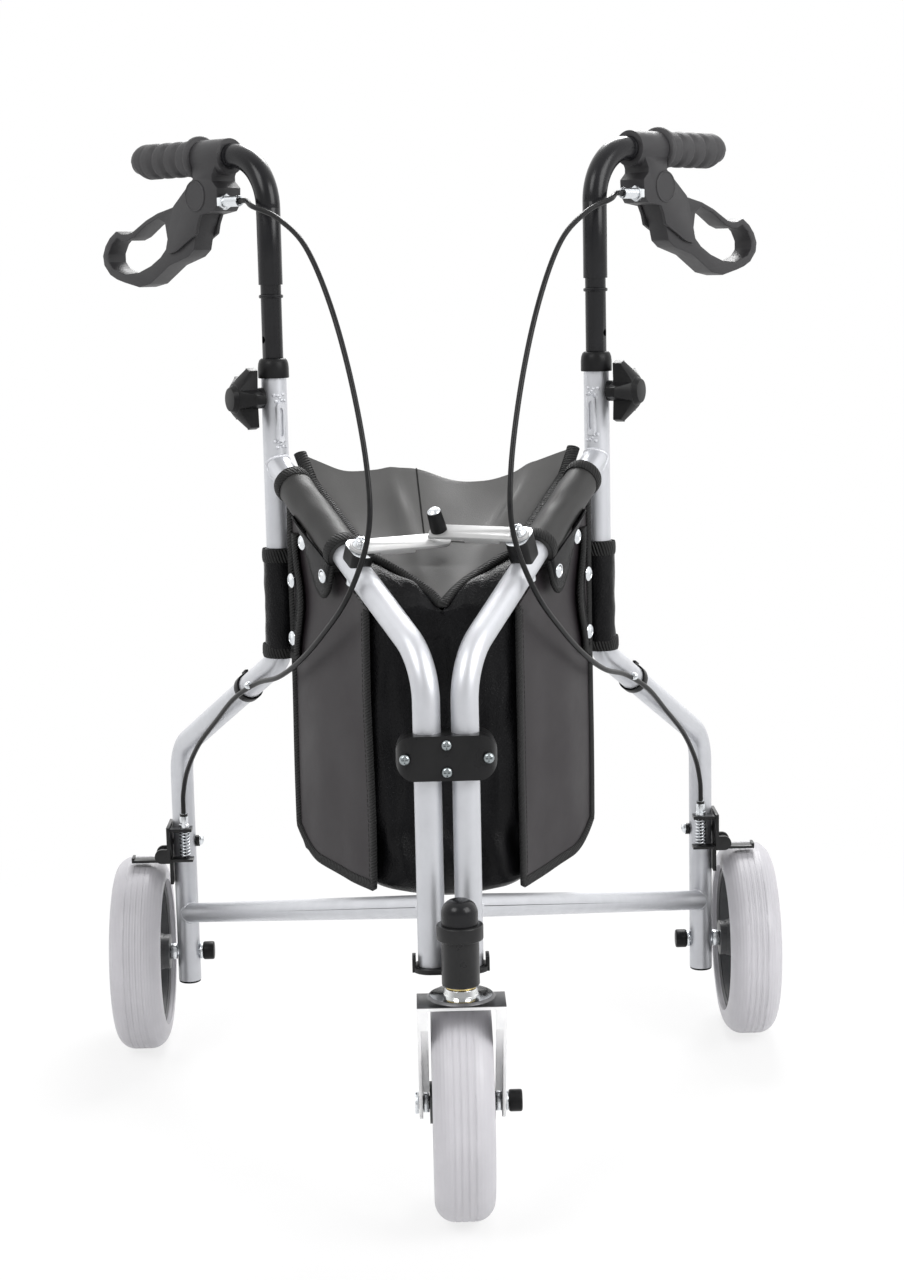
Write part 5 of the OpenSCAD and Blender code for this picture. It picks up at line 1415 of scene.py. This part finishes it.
    def drape(self, p, w):
        """Soft folds of the top, in metres above its plane."""
        back = clamped((p.y + 0.10) / 0.09)
        wave = (0.0065 + 0.0060 * math.cos(5.2 * w + 0.5) * back
                + 0.003 * noise.noise(Vector((p.x * 26, p.y * 14, 2))))
        ridge = 0.0058 * math.exp(-((p.x + 0.018 + 0.25 * (p.y + 0.1)) / 0.007) ** 2)
        ridge += 0.0052 * math.exp(-((p.x - 0.030 - 0.55 * (p.y + 0.1)) / 0.008) ** 2)
        ridge += 0.0042 * math.exp(-((p.x - 0.052 - 0.35 * (p.y + 0.08)) / 0.007) ** 2)
        edge = min(1.0, (1 - abs(w)) / 0.2)
        crest = math.exp(-((p.y + 0.048) / 0.027) ** 2)
        return 0.0012 + (max(0.0, wave) * (0.35 + 0.65 * back) + ridge * (0.15 + crest)) * edge

    def rear_lift(self, w):
        """Rise of the flap's rear edge: drawn up to its corners, slack right of the middle."""
        return 0.016 * (1 - math.exp(-((w - 0.10) / 0.38) ** 2)) + 0.012 * abs(w) ** 5

    def front_top(self, u, v):
        """Fixed front of the top, from its V edge to the crease of the flap."""
        w = 2 * u - 1
        y = self.v_edge(w) + (CREASE_Y - self.v_edge(w)) * v
        q = self.top_point(w, y)
        q.z += self.drape(q, w) - 0.0008 * math.exp(-(y - self.v_edge(w)) / 0.012)
        return q

    def rear_top(self, u, v):
        """Flap behind the crease."""
        w = 2 * u - 1
        y = CREASE_Y + (0.0660 + 0.010 * abs(w) ** 6) * v
        q = self.top_point(w, y)
        q.z += self.drape(q, w) + 0.0006 + self.rear_lift(w) * v ** 2
        return q

    def lip(self, u, v):
        """Leatherette that rolls over the bag's front edge up to the V edge."""
        w = 2 * u - 1
        foot, end = -0.1468, self.v_edge(w) - 0.0005
        y = foot + (end - foot) * max(0.0, (v - 0.2) / 0.8)
        q = self.top_point(w * 0.995, y)
        roll = math.sin(math.pi * clamped((v - 0.1) / 0.9))
        middle = math.exp(-(q.x / 0.011) ** 2)
        q.z += 0.0004 + 0.0120 * roll * min(1.0, (end - foot) / 0.03) * (1 - 0.5 * middle)
        tuck = max(0.0, 1 - v / 0.2)
        q.z -= 0.034 * tuck + 0.0024 * v ** 6
        fold, valley = self.dent(q.x, -0.144, q.z)
        q.y += (fold * 1.3 + valley + 0.0046) * tuck
        q.z += 0.0012 * noise.noise(Vector((w * 5, v * 3, 6)))
        return q

    def top(self):
        """Fixed front of the top, the rolled front below its V edge, and the flap that lifts."""
        width = bpy.context.scene.rollator_sizes.tape
        fixed = self.folded(sheet_of("bag_front_top", self.front_top, 56, 30, self.CLOTH, finish_of("flap")))
        roll = self.folded(sheet_of("bag_front_lip", self.lip, 56, 30, self.CLOTH, finish_of("vinyl")))
        flap = sheet_of("bag_lid.flap", self.rear_top, 56, 40, self.CLOTH, finish_of("flap"))
        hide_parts("bag_lid")
        self.folded(flap, "bag_flap")
        edge = [self.front_top(k / 60, 0) + Vector((0, -0.0006, 0.0014)) for k in range(61)]
        hem = self.folded(self.tape("bag_v_tape", edge, width * 0.95, up=self.EDGE_UP, thick=0.0032))
        trims = []
        for name, u in (("left", 0), ("right", 1)):
            line = [self.rear_top(u, k / 30) for k in range(31)]
            trims.append(self.tape(name + "_flap_tape", line, width * 1.3, up=self.EDGE_UP, thick=0.0035))
        seam = [self.rear_top(0.42, k / 30) + Vector((0, 0, 0.0002)) for k in range(31)]
        trims.append(swept("bag_flap_seam", seam, finish_of("tape"), around(8, 0.0007)))
        for piece in trims:
            self.folded(piece, "bag_flap")

    def ring(self, name, points, width, thick):
        """Binding round the end of a sleeve."""
        ahead = (points[1] - points[0]).cross(points[2] - points[1])
        return swept(name, points, finish_of("tape"), around(10, thick, width / 2), closed=True, up=ahead)

    def run_sleeve(self, side):
        """Parts of the vinyl sleeve on a sloping tube: its cloth, inner edge and bound ends."""
        a, b = (half_point(side, s, run_z(s)) for s in self.RUN_SLEEVE)
        ahead = (b - a).normalized()
        x = (Vector((0, 0, 1)) - ahead * ahead.z).normalized()
        y = ahead.cross(x)
        rings = []
        for i in range(25):
            t = i / 24
            ring = []
            for c, n in around(40):
                r = self.RUN_SLEEVE_R + 0.0009 * noise.noise(Vector((c * 1.5, n * 1.5, t * 5 + side)))
                r += 0.0018 * max(0.0, -c) ** 6
                ring.append(a.lerp(b, t) + x * c * r + y * n * r)
            rings.append(ring)
        inner = []
        for k in range(31):
            s = 0.137 + 0.108 * k / 30
            inner.append(half_point(side, s, run_z(s) + 0.004, -0.0165))
        parts = [lofted("sleeve", rings, finish_of("sleeve")),
                 self.tape("inner", inner, 0.010, up=self.EDGE_UP, thick=0.003)]
        for at in (0.045, 0.955):
            line = [a.lerp(b, at) + (x * c + y * n) * 0.0154 for c, n in around(40)]
            parts.append(self.ring("bind", line, 0.011, 0.0014))
        return parts

    def upright_sleeve(self, side):
        """Parts of the vinyl sleeve on an upright, which follows the tube into its bend."""
        rings = []
        for i in range(31):
            z = self.UPRIGHT_TOP - self.UPRIGHT_LONG * i / 30
            bend = math.asin(min(0.75, max(0.0, (self.BEND_Z - z) / self.BEND_R)))
            s = UPRIGHT_S + self.BEND_R * (1 - math.cos(bend))
            ring = []
            for c, n in around(40):
                r = self.UPRIGHT_SLEEVE_R + 0.0007 * noise.noise(Vector((c * 2, n * 2, z * 70 + side)))
                if i in (0, 30):
                    r = TUBE_R + SEAM
                ring.append(half_point(side, s + r * c / math.cos(bend), z, r * n))
            rings.append(ring)
        parts = [lofted("upright_sleeve", rings, finish_of("vinyl"), caps=False)]
        return parts + [self.ring("bind", ring, 0.0125, 0.0010) for ring in (rings[2], rings[-3])]

    def sleeve(self, name, side):
        """Both sleeves of a half frame as one piece."""
        whole = joined(name + "_bag_sleeve.cloth", self.run_sleeve(side) + self.upright_sleeve(side))
        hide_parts(name + "_bag_sleeve")
        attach(whole, name + "_frame")

    def tab(self, name, side):
        """Snap tab that hangs below a sleeve."""
        low = spline(self.TAB_EDGE, 6)

        def surface(u, v):
            s, z, _ = low[round((u if side > 0 else 1 - u) * (len(low) - 1))]
            top = run_z(s) - 0.008
            out = 0.0146 - 0.0046 * v + 0.0012 * math.sin(3 * v + 40 * s)
            return half_point(side, s, top + (z - top) * v, out)

        tab = sheet_of(name + "_snap_tab", surface, len(low) - 1, 18, self.CLOTH, finish_of("vinyl"))
        edge = [surface(k / 36, 1) for k in range(37)]
        band = self.tape(name + "_tab_tape", edge, 0.006, up=outboard(side))
        for piece in (tab, band):
            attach(piece, name + "_frame")

    def flange(self, name, side):
        """Cloth between the side panel and the upright sleeve, bound along its front edge."""
        def surface(u, v):
            w = u if side > 0 else 1 - u
            z = 0.432 + 0.108 * v
            s = 0.214 + 0.006 * math.cos(2.2 * math.pi * v) * (1 - w) + (0.252 - 0.214) * w
            return half_point(side, s, z, 0.0065 + 0.0010 * math.sin(5 * v + 2 * w) - 0.016 * w * w)

        cloth = sheet_of(name + "_bag_flange", surface, 12, 36, self.CLOTH, finish_of("vinyl"))
        away = outboard(side)
        edge = [surface(0 if side > 0 else 1, 1 - k / 30) for k in range(31)]
        edge += [surface((k / 12) if side > 0 else 1 - k / 12, 0) for k in range(1, 9)]
        band = self.tape(name + "_flange_tape", edge, 0.008, up=away)
        for piece in (cloth, band):
            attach(piece, name + "_frame")
        places = [facing(half_point(side, *spot), away) for spot in self.SNAPS]
        snaps = repeated(name + "_snaps", places, self.snap, finish_of("zinc"), self.SNAP)
        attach(snaps, name + "_frame")

    def execute(self, context):
        self.thread = pattern("stitch_form", stitch_shape)
        self.snap = pattern("snap_form", rivet_shape)
        self.body()
        for name, side in SIDES:
            self.side_panel(name, side)
            self.sleeve(name, side)
            self.tab(name, side)
            self.flange(name, side)
        self.top()
        drop_patterns()
        return {"FINISHED"}


class RollatorPanel(bpy.types.Panel):
    """Settings and building steps of the rollator"""

    bl_idname = "VIEW3D_PT_rollator"
    bl_label = "Rollator"
    bl_space_type = "VIEW_3D"
    bl_region_type = "UI"
    bl_category = "Rollator"

    def draw(self, context):
        for group in (context.scene.rollator_finish, context.scene.rollator_sizes):
            for name in group.__annotations__:
                self.layout.prop(group, name)
        for step in STEPS:
            self.layout.operator(step.bl_idname)


STEPS = (RollatorStage, RollatorCables, RollatorFrame, RollatorWheels, RollatorCaster, RollatorBrakes,
         RollatorHandles, RollatorLinks, RollatorBag)
CLASSES = (RollatorFinish, RollatorSizes, *STEPS, RollatorPanel)


def register():
    for item in CLASSES:
        bpy.utils.register_class(item)
    bpy.types.Scene.rollator_finish = PointerProperty(type=RollatorFinish)
    bpy.types.Scene.rollator_sizes = PointerProperty(type=RollatorSizes)


def unregister():
    del bpy.types.Scene.rollator_sizes
    del bpy.types.Scene.rollator_finish
    for item in reversed(CLASSES):
        bpy.utils.unregister_class(item)


def main():
    register()
    bpy.ops.rollator.stage()
    bpy.ops.rollator.cables()
    bpy.ops.rollator.frame()
    bpy.ops.rollator.wheels()
    bpy.ops.rollator.caster()
    bpy.ops.rollator.brakes()
    bpy.ops.rollator.handles()
    bpy.ops.rollator.links()
    bpy.ops.rollator.bag()


if __name__ == "__main__":
    main()
